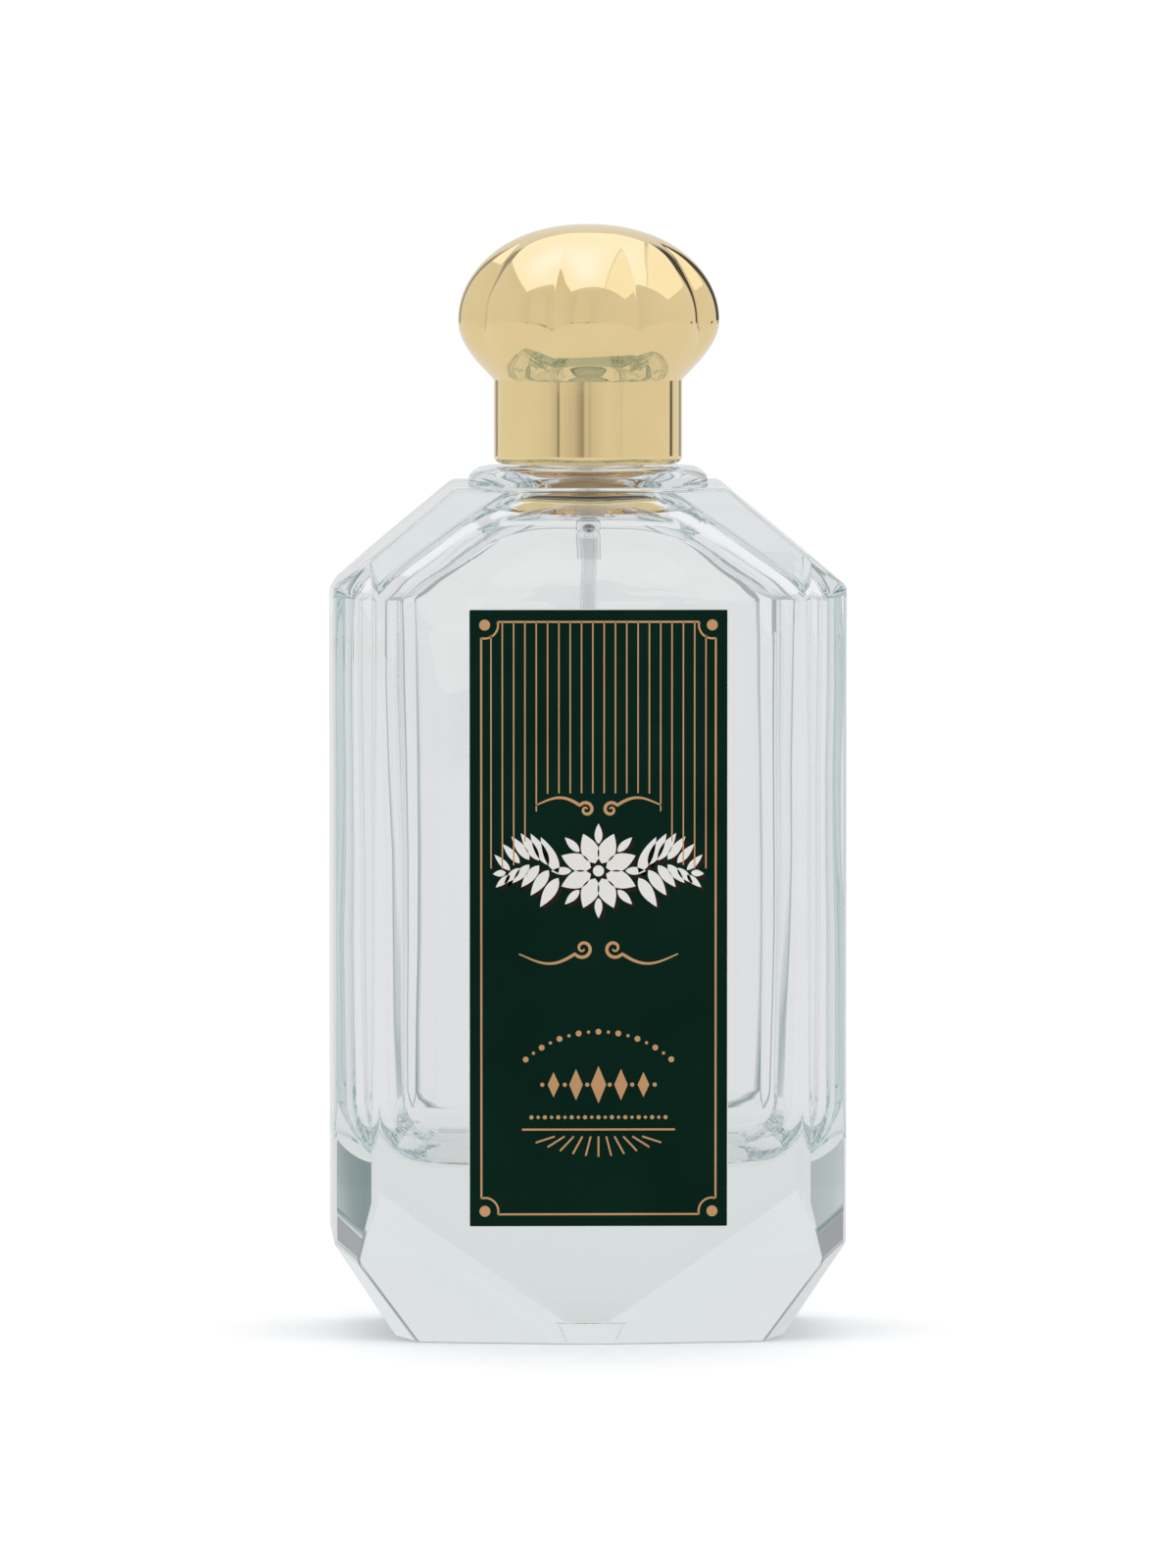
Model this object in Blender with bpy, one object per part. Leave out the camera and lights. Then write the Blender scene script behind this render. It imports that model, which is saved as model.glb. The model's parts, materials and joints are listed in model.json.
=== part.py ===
"""Faceted glass spray bottle with a crimp pump and a lobed dome overcap.

The model stands on Z = 0 with the neck axis on Z and the front face towards -Y.
All dimensions below are millimetres; meshes and places are converted to metres.
"""
import math

import bmesh
import bpy
from mathutils import Vector

MM = 0.001
FULL_TURN = 2.0 * math.pi

# Glass body
BODY_WIDTH = 64.0
BODY_DEPTH = 36.0
SIDE_DRAFT_DEG = 2.4            # each side face leans in from the mould joint at mid depth
FRONT_HALF_WIDTH = 26.5         # half width of the flat front between the corner panels
PLATEAU_Z = 104.8               # flat top that carries the neck ring
SHOULDER_Z = 92.1               # where the sloping shoulder starts on the side face
SHOULDER_TOP_HALF = 16.7        # half width left at the plateau
LOWER_CUT_Z = 12.6              # where the lower side facet starts
BASE_HALF_WIDTH = 23.9          # half width of the base
VEE_TIP_HALF = 1.6              # the front panel ends in a V; half width of its tip
VEE_ARM = (13.4, 8.2)           # a point on the V's arm: half width, height
BASE_CORNER = (22.2, 15.0)      # front corner of the base: half width, half depth
CORNER_FACET_NORMAL = (0.756, 0.296, -0.584)
CORNER_FACET_INSET = 0.4        # how far inside the side face it leaves the corner panel
EDGE_RADIUS = 0.8
BEVEL_MIN_ANGLE_DEG = 9.0

# Neck ring and crimp finish
RING_RADIUS = 14.85
RING_FLAT_RADIUS = 12.4
RING_TOP_Z = 107.0
RING_EDGE_RISE = 0.3            # height of the ring's vertical edge above the plateau
NECK_RADIUS = 6.5
LIP_RADIUS = 7.5
LIP_UNDER_Z = 112.0
LIP_UNDERCUT = 0.9              # height of the slope under the crimp lip
LIP_ROUND = 0.5
MOUTH_Z = 115.2
NECK_BORE_RADIUS = 4.75

# Cavity
WALL = 4.8
FLOOR_Z = 20.8
FLOOR_ROUND = 8.0
CAVITY_SHOULDER_Z = 90.8
CAVITY_BOXINESS = 5.0           # superellipse exponent of the plan; 2 is an ellipse
FLOOR_STEPS = 5
# (height above the cavity shoulder, inset of the sides, inset of front and back, boxiness)
CAVITY_SHOULDER = (
    (0.0, 0.0, 0.0, 5.0), (2.0, 1.2, 0.05, 4.8), (6.0, 6.1, 0.3, 4.6),
    (10.0, 11.6, 1.1, 4.2), (12.8, 16.2, 3.3, 3.2), (14.6, 20.2, 6.9, 2.2),
)
NECK_BLEND_Z = (107.2, 108.8)   # the cavity narrows to the neck bore between these

# Label
LABEL_WIDTH = 31.7
LABEL_BOTTOM_Z = 14.4
LABEL_TOP_Z = 90.1
LABEL_THICKNESS = 0.16
LABEL_GLUE = 0.05
LABEL_CENTRE_X = 0.9

# Fits
GAP = 0.3                       # between pieces that touch in reality
PUMP_FIT = 0.1                  # between the small pump pieces

# Crimped parts, stacked upwards from the mouth
GASKET_THICKNESS = 0.8
FLANGE_THICKNESS = 0.8
FERRULE_WALL = 0.4
FERRULE_RADIUS = 8.15
CRIMP_RADIUS = 6.9
TOWER_RADIUS = 4.5
TOWER_TOP_Z = 121.45
COLLAR_RADIUS = 9.0
COLLAR_WALL = 0.5

# Pump
HOUSING_RADIUS = 4.2
CHAMBER_RADIUS = 3.1
SPRING_WELL_TOP_Z = 106.8
SPRING_WELL_BORE = 2.4
SPRING_WELL_RADIUS = 3.0
CHAMBER_FLOOR_Z = 103.7
TAIL_RADIUS = 1.45
TAIL_TOP_Z = 102.8
TAIL_END_Z = 96.0
BALL_RADIUS = 0.8
BALL_SEAT_APEX_Z = 100.0
STEM_RADIUS = 1.6
STEM_BORE = 0.95
STEM_TOP_Z = 128.6
STEM_FLANGE_TOP_Z = 115.8
ROD_RADIUS = 0.8
ROD_TOP_Z = 119.3
ROD_HEAD_RADIUS = 2.2
ROD_GUIDE_LENGTH = 1.2          # spigot below the head that centres the return spring
ROD_HEAD_Z = (110.3, 111.0)
PISTON_Z = (110.8, 113.6)
RETURN_SPRING_Z = (103.9, 110.1)
PRIMING_SPRING_Z = (113.8, 115.1)
SPRING_RADIUS = 1.9
RETURN_WIRE, RETURN_TURNS = 0.45, 5.5
PRIMING_WIRE, PRIMING_TURNS = 0.35, 2.5
DIP_TUBE_RADIUS = 0.92
DIP_TUBE_BORE = 0.6
DIP_TUBE_TOP_Z = 99.4
DIP_TUBE_END_Z = 23.0
DIP_TUBE_BEND_Z = (90.0, 39.0)
DIP_TUBE_OFFSET = 9.0           # the lower end leans towards the back wall

# Spray button
BUTTON_RADIUS = 5.8
SLEEVE_RADIUS = 6.5
SLEEVE_WALL = 0.4
SLEEVE_Z = (123.3, 132.3)
BUTTON_Z = (123.6, 131.6)
BUTTON_HUB_Z = 125.5
BUTTON_CEILING_Z = 126.7
BUTTON_HUB_RADIUS = 2.8
BUTTON_SKIRT_INNER = 5.0
NOZZLE_Z = 129.4
NOZZLE_RADIUS = 1.35
NOZZLE_FACE, NOZZLE_BACK = 5.9, 3.8     # distances from the neck axis

# Overcap
CAP_BOTTOM_Z = 107.3
CREASE_Z = 117.8
APEX_Z = 136.8
WIDEST_Z = 125.0
SKIRT_RADIUS = 11.65
DOME_RADIUS = 16.4
LOBES = 9
LOBE_DEPTH = 1.0
LOBE_TURN_DEG = 22.5            # first groove, measured from the front towards +X
GROOVE_SHARPNESS = 0.003        # smaller is sharper
CROWN_FULLNESS = 0.94           # 1 is an ellipse; less is fuller
CAP_RIM = 0.7                   # rounding of the bottom rim
LINER_SEAT_Z = 119.2
LINER_BORE = 10.65
CAP_BORE = 9.3
CAP_BORE_TOP_Z = 133.0
LINER_RADIUS = 10.35
LINER_INNER = 9.6
LINER_RIB_INNER = 9.3
LINER_Z = (107.9, 118.9)
LINER_RIBS = 6
LINER_RIB_HALF_DEG = 4.0
LINER_LEAD_IN = 0.8             # the ribs start this far above the open end

# Facet counts
ROUND_LARGE = 48
ROUND_MEDIUM = 36
ROUND_SMALL = 24
PLUG_SIDES = 16
CAVITY_POINTS = 40
FACETS_PER_LOBE = 6


def clear_scene():
    for item in list(bpy.data.objects):
        bpy.data.objects.remove(item, do_unlink=True)


def make_material(name, colour, roughness, metallic=0.0, transmission=0.0):
    material = bpy.data.materials.new(name)
    material.use_nodes = True
    shader = material.node_tree.nodes["Principled BSDF"]
    shader.inputs["Base Color"].default_value = (*colour, 1.0)
    shader.inputs["Roughness"].default_value = roughness
    shader.inputs["Metallic"].default_value = metallic
    shader.inputs["Transmission Weight"].default_value = transmission
    material.diffuse_color = (*colour, 1.0)
    return material


def make_object(name, bm, material, datum_z=0.0, parent=None):
    """Turn a bmesh built in millimetres into an object whose origin is on the axis at datum_z."""
    bmesh.ops.recalc_face_normals(bm, faces=bm.faces)
    bmesh.ops.translate(bm, verts=bm.verts, vec=(0.0, 0.0, -datum_z))
    bmesh.ops.scale(bm, verts=bm.verts, vec=(MM, MM, MM))
    mesh = bpy.data.meshes.new(name)
    bm.to_mesh(mesh)
    bm.free()
    mesh.shade_smooth()
    mesh.set_sharp_from_angle(angle=math.radians(32.0))
    mesh.materials.append(material)
    item = bpy.data.objects.new(name, mesh)
    bpy.context.scene.collection.objects.link(item)
    place(item, datum_z, parent)
    return item


def place(item, z, parent):
    """Put an item's origin on the neck axis at height z, also under a parent."""
    item.location.z = z * MM
    if parent is not None:
        item.parent = parent
        item.location.z -= parent.matrix_world.translation.z


def make_axis(name, z, parent=None):
    """An empty on the neck axis that a moving group hangs from."""
    empty = bpy.data.objects.new(name, None)
    empty.empty_display_size = 5.0 * MM
    bpy.context.scene.collection.objects.link(empty)
    place(empty, z, parent)
    bpy.context.view_layer.update()
    return empty


def turn_profile(outline, segments, closed):
    """Spin (radius, z) points about Z; an open outline starts and ends on the axis."""
    bm = bmesh.new()
    verts = [bm.verts.new((radius, 0.0, z)) for radius, z in outline]
    pairs = list(zip(verts, verts[1:]))
    if closed:
        pairs.append((verts[-1], verts[0]))
    edges = [bm.edges.new(pair) for pair in pairs]
    bmesh.ops.spin(bm, geom=verts + edges, cent=(0, 0, 0), axis=(0, 0, 1),
                   angle=FULL_TURN, steps=segments, use_merge=True)
    bmesh.ops.remove_doubles(bm, verts=bm.verts, dist=1e-4)
    return bm


def turned(name, outline, segments, material, closed=True, parent=None):
    datum = min(z for _, z in outline)
    bm = turn_profile(outline, segments, closed)
    return make_object(name, bm, material, datum, parent)


def boolean(target, cutter, operation):
    modifier = target.modifiers.new(operation.lower(), "BOOLEAN")
    modifier.object = cutter
    modifier.operation = operation
    modifier.solver = "EXACT"
    cutter.hide_render = True
    cutter.display_type = "WIRE"


def arc(centre, radius, start_deg, end_deg, steps):
    """Points (r, z) along an arc, both ends included."""
    points = []
    for step in range(steps + 1):
        angle = math.radians(start_deg + (end_deg - start_deg) * step / steps)
        points.append((centre[0] + radius * math.cos(angle), centre[1] + radius * math.sin(angle)))
    return points


def smoothstep(value):
    value = min(max(value, 0.0), 1.0)
    return value * value * (3.0 - 2.0 * value)


# ---------------------------------------------------------------- glass

def cut_plane(bm, point, normal):
    """Keep what lies behind the plane and close the cut."""
    geometry = bm.verts[:] + bm.edges[:] + bm.faces[:]
    bmesh.ops.bisect_plane(bm, geom=geometry, plane_co=point, plane_no=normal,
                           dist=1e-4, clear_outer=True)
    rim = [edge for edge in bm.edges if edge.is_boundary]
    if rim:
        bmesh.ops.edgeloop_fill(bm, edges=rim)


def facet_planes():
    """(point, outward normal) of every facet, for all four quarters of the body."""
    half_width = BODY_WIDTH / 2.0
    half_depth = BODY_DEPTH / 2.0
    draft = math.radians(SIDE_DRAFT_DEG)
    shoulder = Vector((PLATEAU_Z - SHOULDER_Z, 0.0, half_width - SHOULDER_TOP_HALF))
    lower = Vector((LOWER_CUT_Z, 0.0, BASE_HALF_WIDTH - half_width))
    vee_tip = Vector((VEE_TIP_HALF, half_depth, 0.0))
    vee_arm = Vector((VEE_ARM[0], half_depth, VEE_ARM[1]))
    base_corner = Vector((BASE_CORNER[0], BASE_CORNER[1], 0.0))
    vee = (base_corner - vee_tip).cross(vee_arm - vee_tip)
    panel_side_y = half_depth - (half_width - FRONT_HALF_WIDTH)
    quarter = [
        (Vector((half_width, 0.0, 0.0)), Vector((math.cos(draft), math.sin(draft), 0.0))),
        (Vector((FRONT_HALF_WIDTH, half_depth, 0.0)), Vector((1.0, 1.0, 0.0))),
        (Vector((half_width, 0.0, SHOULDER_Z)), shoulder),
        (Vector((half_width, 0.0, LOWER_CUT_Z)), lower),
        (Vector((half_width - CORNER_FACET_INSET, panel_side_y + CORNER_FACET_INSET,
                 LOWER_CUT_Z - CORNER_FACET_INSET)), Vector(CORNER_FACET_NORMAL)),
        (vee_tip, vee if vee.y > 0.0 else -vee),
    ]
    planes = []
    for side_x in (-1.0, 1.0):
        for side_y in (-1.0, 1.0):
            flip = Vector((side_x, side_y, 1.0))
            planes.extend((point * flip, normal * flip) for point, normal in quarter)
    return planes


def faceted_block():
    bm = bmesh.new()
    bmesh.ops.create_cube(bm, size=1.0)
    bmesh.ops.scale(bm, verts=bm.verts, vec=(BODY_WIDTH, BODY_DEPTH, PLATEAU_Z))
    bmesh.ops.translate(bm, verts=bm.verts, vec=(0.0, 0.0, PLATEAU_Z / 2.0))
    for point, normal in facet_planes():
        cut_plane(bm, point, normal.normalized())
    bmesh.ops.remove_doubles(bm, verts=bm.verts, dist=1e-3)
    bmesh.ops.dissolve_limit(bm, angle_limit=math.radians(0.5), verts=bm.verts, edges=bm.edges)
    return bm


def neck_outline():
    """Solid neck: crimp lip, neck and the ring that stands on the plateau."""
    edge_z = PLATEAU_Z + RING_EDGE_RISE
    root_z = PLATEAU_Z - 2.0
    outline = [(0.0, MOUTH_Z)]
    outline += arc((LIP_RADIUS - LIP_ROUND, MOUTH_Z - LIP_ROUND), LIP_ROUND, 90.0, 0.0, 2)
    outline += [(LIP_RADIUS, LIP_UNDER_Z), (NECK_RADIUS, LIP_UNDER_Z - LIP_UNDERCUT)]
    outline += [(NECK_RADIUS, RING_TOP_Z)]
    for angle_deg in (90.0, 60.0, 30.0, 0.0):
        angle = math.radians(angle_deg)
        outline.append((RING_FLAT_RADIUS + (RING_RADIUS - RING_FLAT_RADIUS) * math.cos(angle),
                        edge_z + (RING_TOP_Z - edge_z) * math.sin(angle)))
    outline += [(RING_RADIUS, root_z), (0.0, root_z)]
    return outline


def cavity_sections():
    """(z, half width, half depth, superellipse exponent) from the floor to above the mouth."""
    half_width = BODY_WIDTH / 2.0 - WALL
    half_depth = BODY_DEPTH / 2.0 - WALL
    sections = []
    for step in range(FLOOR_STEPS):
        angle = math.radians(90.0 * step / FLOOR_STEPS)
        inset = FLOOR_ROUND * (1.0 - math.sin(angle))
        height = FLOOR_Z + FLOOR_ROUND * (1.0 - math.cos(angle))
        sections.append((height, half_width - inset, half_depth - inset, CAVITY_BOXINESS))
    sections.append((FLOOR_Z + FLOOR_ROUND, half_width, half_depth, CAVITY_BOXINESS))
    for rise, side_inset, front_inset, boxiness in CAVITY_SHOULDER:
        sections.append((CAVITY_SHOULDER_Z + rise, half_width - side_inset,
                         half_depth - front_inset, boxiness))
    for z, radius in ((NECK_BLEND_Z[0], NECK_BORE_RADIUS + 0.5), (NECK_BLEND_Z[1], NECK_BORE_RADIUS),
                      (MOUTH_Z + 2.0, NECK_BORE_RADIUS)):
        sections.append((z, radius, radius, 2.0))
    return sections


def superellipse(half_width, half_depth, exponent, count):
    points = []
    for index in range(count):
        angle = FULL_TURN * index / count
        cosine, sine = math.cos(angle), math.sin(angle)
        power = 2.0 / exponent
        points.append((half_width * math.copysign(abs(cosine) ** power, cosine),
                       half_depth * math.copysign(abs(sine) ** power, sine)))
    return points


def skin_rings(bm, rings, cap_ends):
    """Join equal rings of vertices into a tube, with flat ends if asked."""
    count = len(rings[0])
    for lower, upper in zip(rings, rings[1:]):
        for index in range(count):
            following = (index + 1) % count
            bm.faces.new((lower[index], lower[following], upper[following], upper[index]))
    if cap_ends:
        bm.faces.new(reversed(rings[0]))
        bm.faces.new(rings[-1])


def cavity_block():
    bm = bmesh.new()
    rings = []
    for z, half_width, half_depth, exponent in cavity_sections():
        outline = superellipse(half_width, half_depth, exponent, CAVITY_POINTS)
        rings.append([bm.verts.new((x, y, z)) for x, y in outline])
    skin_rings(bm, rings, cap_ends=True)
    return bm


def build_glass(material):
    bottle = make_object("glass_bottle", faceted_block(), material)
    bevel = bottle.modifiers.new("rounded_edges", "BEVEL")
    bevel.width = EDGE_RADIUS * MM
    bevel.segments = 2
    bevel.limit_method = "ANGLE"
    bevel.angle_limit = math.radians(BEVEL_MIN_ANGLE_DEG)
    bevel.use_clamp_overlap = True
    neck = make_object("neck_guide", turn_profile(neck_outline(), ROUND_LARGE, False), material)
    cavity = make_object("cavity_guide", cavity_block(), material)
    boolean(bottle, neck, "UNION")
    boolean(bottle, cavity, "DIFFERENCE")


def build_label(material):
    bm = bmesh.new()
    bmesh.ops.create_cube(bm, size=1.0)
    height = LABEL_TOP_Z - LABEL_BOTTOM_Z
    bmesh.ops.scale(bm, verts=bm.verts, vec=(LABEL_WIDTH, LABEL_THICKNESS, height))
    front = -BODY_DEPTH / 2.0 - LABEL_GLUE - LABEL_THICKNESS / 2.0
    bmesh.ops.translate(bm, verts=bm.verts,
                        vec=(LABEL_CENTRE_X, front, LABEL_BOTTOM_Z + height / 2.0))
    make_object("front_label", bm, material)


# ---------------------------------------------------------------- crimped neck parts

def build_gasket(material):
    low = MOUTH_Z + GAP
    high = low + GASKET_THICKNESS
    inner, outer = HOUSING_RADIUS + GAP, LIP_RADIUS - 0.3
    turned("neck_gasket", [(inner, low), (outer, low), (outer, high), (inner, high)],
           ROUND_SMALL, material)
    return high


def build_ferrule(material, plate_z):
    """Aluminium cup crimped under the glass lip, with a tower around the turret."""
    outer, inner = FERRULE_RADIUS, FERRULE_RADIUS - FERRULE_WALL
    crimp_z = LIP_UNDER_Z - 1.3
    tower_inner = TOWER_RADIUS - FERRULE_WALL + 0.05
    outline = [
        (CRIMP_RADIUS, crimp_z), (outer - 0.3, crimp_z), (outer, crimp_z + 0.4),
        (outer, plate_z), (outer - 0.4, plate_z + FERRULE_WALL),
        (TOWER_RADIUS, plate_z + FERRULE_WALL), (TOWER_RADIUS, TOWER_TOP_Z - 0.3),
        (TOWER_RADIUS - 0.3, TOWER_TOP_Z), (STEM_RADIUS + 0.4, TOWER_TOP_Z),
        (STEM_RADIUS + 0.4, TOWER_TOP_Z - FERRULE_WALL), (tower_inner, TOWER_TOP_Z - FERRULE_WALL),
        (tower_inner, plate_z), (inner, plate_z), (inner, crimp_z + FERRULE_WALL),
        (CRIMP_RADIUS, crimp_z + FERRULE_WALL),
    ]
    turned("crimp_ferrule", outline, ROUND_MEDIUM, material)


def build_collar(material, plate_z):
    """Gold sleeve that hides the crimp and that the overcap grips."""
    low = RING_TOP_Z + 0.4
    top = plate_z + COLLAR_WALL
    outer, inner = COLLAR_RADIUS, COLLAR_RADIUS - COLLAR_WALL
    hole = TOWER_RADIUS + GAP
    outline = [(inner, low), (outer, low), (outer, top - 0.4), (outer - 0.4, top),
               (hole, top), (hole, plate_z), (inner, plate_z)]
    turned("neck_collar", outline, ROUND_LARGE, material)


# ---------------------------------------------------------------- pump, fixed pieces

def build_housing(material, flange_z):
    """Pump body: flange, piston chamber, narrower spring well, ball seat and tube socket."""
    flange_top = flange_z + FLANGE_THICKNESS
    seat_top = BALL_SEAT_APEX_Z + 1.0
    orifice = 0.5
    socket_top = BALL_SEAT_APEX_Z - 0.3
    socket = DIP_TUBE_RADIUS + PUMP_FIT
    outline = [
        (CHAMBER_RADIUS, flange_top), (LIP_RADIUS - 0.3, flange_top), (LIP_RADIUS - 0.3, flange_z),
        (HOUSING_RADIUS, flange_z), (HOUSING_RADIUS, SPRING_WELL_TOP_Z),
        (SPRING_WELL_RADIUS, SPRING_WELL_TOP_Z - 1.0), (SPRING_WELL_RADIUS, CHAMBER_FLOOR_Z),
        (SPRING_WELL_RADIUS - 0.6, CHAMBER_FLOOR_Z - 0.6), (TAIL_RADIUS, TAIL_TOP_Z),
        (TAIL_RADIUS, TAIL_END_Z), (socket, TAIL_END_Z), (socket, socket_top),
        (orifice, socket_top), (orifice, BALL_SEAT_APEX_Z + orifice), (1.0, seat_top),
        (1.0, CHAMBER_FLOOR_Z), (SPRING_WELL_BORE, CHAMBER_FLOOR_Z),
        (SPRING_WELL_BORE, SPRING_WELL_TOP_Z), (CHAMBER_RADIUS, SPRING_WELL_TOP_Z),
    ]
    turned("pump_housing", outline, ROUND_SMALL, material)
    return flange_top


def build_turret(material, flange_top):
    """Closure snapped into the top of the housing; it holds the stem down."""
    skirt = CHAMBER_RADIUS - PUMP_FIT
    low = STEM_FLANGE_TOP_Z + 0.2
    shelf = flange_top + PUMP_FIT
    outer = TOWER_RADIUS - FERRULE_WALL - 0.1
    top = TOWER_TOP_Z - FERRULE_WALL - GAP
    bore = STEM_RADIUS + 0.15
    pocket, pocket_top = 2.6, top - 1.5
    outline = [(pocket, low), (skirt, low), (skirt, shelf), (outer, shelf), (outer, top),
               (bore, top), (bore, pocket_top), (pocket, pocket_top)]
    turned("pump_turret", outline, ROUND_SMALL, material)
    return pocket, pocket_top


def build_stem_seal(material, pocket, pocket_top):
    high = pocket_top - PUMP_FIT
    low = high - 0.7
    inner, outer = STEM_RADIUS + PUMP_FIT, pocket - PUMP_FIT
    turned("stem_seal", [(inner, low), (outer, low), (outer, high), (inner, high)],
           ROUND_SMALL, material)


def build_dip_tube(material):
    """Hollow tube, straight below the pump and then leaning to the back wall."""
    bm = bmesh.new()
    stations = 22
    sides = 12
    rows = []
    for station in range(stations + 1):
        z = DIP_TUBE_TOP_Z + (DIP_TUBE_END_Z - DIP_TUBE_TOP_Z) * station / stations
        bend_high, bend_low = DIP_TUBE_BEND_Z
        y = DIP_TUBE_OFFSET * smoothstep((bend_high - z) / (bend_high - bend_low))
        rows.append((y, z))
    rings = []
    for radius in (DIP_TUBE_RADIUS, DIP_TUBE_BORE):
        wall = []
        for y, z in rows:
            angles = (FULL_TURN * side / sides for side in range(sides))
            wall.append([bm.verts.new((radius * math.cos(a), y + radius * math.sin(a), z))
                         for a in angles])
        rings.append(wall)
    outer, inner = rings
    skin_rings(bm, outer + inner[::-1] + outer[:1], cap_ends=False)
    make_object("dip_tube", bm, material)


def build_ball(material, parent):
    bm = bmesh.new()
    bmesh.ops.create_icosphere(bm, subdivisions=2, radius=BALL_RADIUS)
    centre = BALL_SEAT_APEX_Z + (BALL_RADIUS + 0.05) * math.sqrt(2.0)
    bmesh.ops.translate(bm, verts=bm.verts, vec=(0.0, 0.0, centre))
    make_object("inlet_ball", bm, material, centre, parent)


# ---------------------------------------------------------------- pump, moving pieces

def build_stem(material, parent):
    flange_low = STEM_FLANGE_TOP_Z - 0.6
    outline = [
        (STEM_BORE, flange_low - 0.2), (STEM_RADIUS - 0.3, flange_low - 0.2),
        (STEM_RADIUS - 0.3, flange_low), (2.4, flange_low), (2.4, STEM_FLANGE_TOP_Z),
        (STEM_RADIUS, STEM_FLANGE_TOP_Z), (STEM_RADIUS, STEM_TOP_Z - 0.4),
        (STEM_RADIUS - 0.3, STEM_TOP_Z), (STEM_BORE, STEM_TOP_Z),
    ]
    turned("pump_stem", outline, ROUND_SMALL, material, parent=parent)


def build_rod(material, parent):
    """Rod pressed into the stem; its head closes the piston from below."""
    low, high = ROD_HEAD_Z
    chamfer = 0.2
    guide_radius, guide_end = 1.2, low - ROD_GUIDE_LENGTH
    outline = [
        (0.0, ROD_TOP_Z), (ROD_RADIUS - chamfer, ROD_TOP_Z), (ROD_RADIUS, ROD_TOP_Z - chamfer),
        (ROD_RADIUS, high + 0.5), (ROD_HEAD_RADIUS, high), (ROD_HEAD_RADIUS, low),
        (guide_radius, low), (guide_radius - chamfer, guide_end), (0.0, guide_end),
    ]
    turned("piston_rod", outline, ROUND_SMALL, material, closed=False, parent=parent)


def build_piston(material, parent):
    low, high = PISTON_Z
    bore, hub = ROD_RADIUS + 0.15, 1.5
    lip = CHAMBER_RADIUS - PUMP_FIT
    web = low + 1.1
    outline = [
        (bore, high), (hub, high), (hub, web + 0.5), (lip - 0.4, web + 0.5), (lip - 0.4, high - 0.3),
        (lip, high - 0.2), (lip - 0.08, web + 0.25), (lip, low), (lip - 0.4, low + 0.1),
        (lip - 0.4, web), (2.4, web), (bore + 0.1, low + 0.85),
    ]
    turned("pump_piston", outline, ROUND_SMALL, material, parent=parent)


def build_spring(name, material, parent, z_range, wire, turns):
    """Coil with closed ends, made as a wire swept along a helix."""
    bm = bmesh.new()
    steps_per_turn, sides = 14, 5
    low, high = z_range[0] + wire / 2.0, z_range[1] - wire / 2.0
    steps = int(turns * steps_per_turn)
    rings = []
    for step in range(steps + 1):
        angle = FULL_TURN * step / steps_per_turn
        z = low + (high - low) * (smoothstep(step / steps) + step / steps) / 2.0
        outward = Vector((math.cos(angle), math.sin(angle), 0.0))
        centre = outward * SPRING_RADIUS + Vector((0.0, 0.0, z))
        ring = []
        for side in range(sides):
            around = FULL_TURN * side / sides
            offset = outward * math.cos(around) + Vector((0.0, 0.0, math.sin(around)))
            ring.append(bm.verts.new(centre + offset * wire / 2.0))
        rings.append(ring)
    skin_rings(bm, rings, cap_ends=True)
    make_object(name, bm, material, z_range[0], parent)


def build_button(material, parent):
    """Plastic spray head: socket for the stem, skirt, and a seat for the nozzle insert."""
    low, high = BUTTON_Z
    socket = STEM_RADIUS + PUMP_FIT
    socket_top = STEM_TOP_Z + 0.2
    edge = 0.4
    outline = [
        (0.0, high), (BUTTON_RADIUS - edge, high), (BUTTON_RADIUS, high - edge), (BUTTON_RADIUS, low),
        (BUTTON_SKIRT_INNER, low), (BUTTON_SKIRT_INNER, BUTTON_CEILING_Z),
        (BUTTON_HUB_RADIUS, BUTTON_CEILING_Z), (BUTTON_HUB_RADIUS, BUTTON_HUB_Z),
        (socket, BUTTON_HUB_Z), (socket, socket_top), (0.0, socket_top),
    ]
    button = turned("spray_button", outline, ROUND_MEDIUM, material, False, parent)
    seat = radial_plug("nozzle_seat_guide", NOZZLE_RADIUS + PUMP_FIT, 3.4, 7.5, material, parent)
    boolean(button, seat, "DIFFERENCE")


def radial_plug(name, radius, near, far, material, parent):
    """Cylinder along -Y from near to far at the nozzle's height."""
    bm = bmesh.new()
    rings = []
    for distance in (near, far):
        ring = []
        for index in range(PLUG_SIDES):
            angle = FULL_TURN * (index + 0.5) / PLUG_SIDES
            ring.append(bm.verts.new((radius * math.cos(angle), -distance,
                                      NOZZLE_Z + radius * math.sin(angle))))
        rings.append(ring)
    skin_rings(bm, rings, cap_ends=True)
    return make_object(name, bm, material, NOZZLE_Z, parent)


def build_sleeve(material, parent):
    """Gold metal cover of the spray head with a hole for the nozzle."""
    low, high = SLEEVE_Z
    inner = SLEEVE_RADIUS - SLEEVE_WALL
    outline = [(0.0, high), (SLEEVE_RADIUS - 0.6, high), (SLEEVE_RADIUS, high - 0.6),
               (SLEEVE_RADIUS, low), (inner, low), (inner, high - SLEEVE_WALL - 0.1),
               (0.0, high - SLEEVE_WALL)]
    sleeve = turned("button_sleeve", outline, ROUND_LARGE, material, False, parent)
    hole = radial_plug("nozzle_hole_guide", NOZZLE_RADIUS + 0.35, 4.5, 8.0, material, parent)
    boolean(sleeve, hole, "DIFFERENCE")


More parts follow.
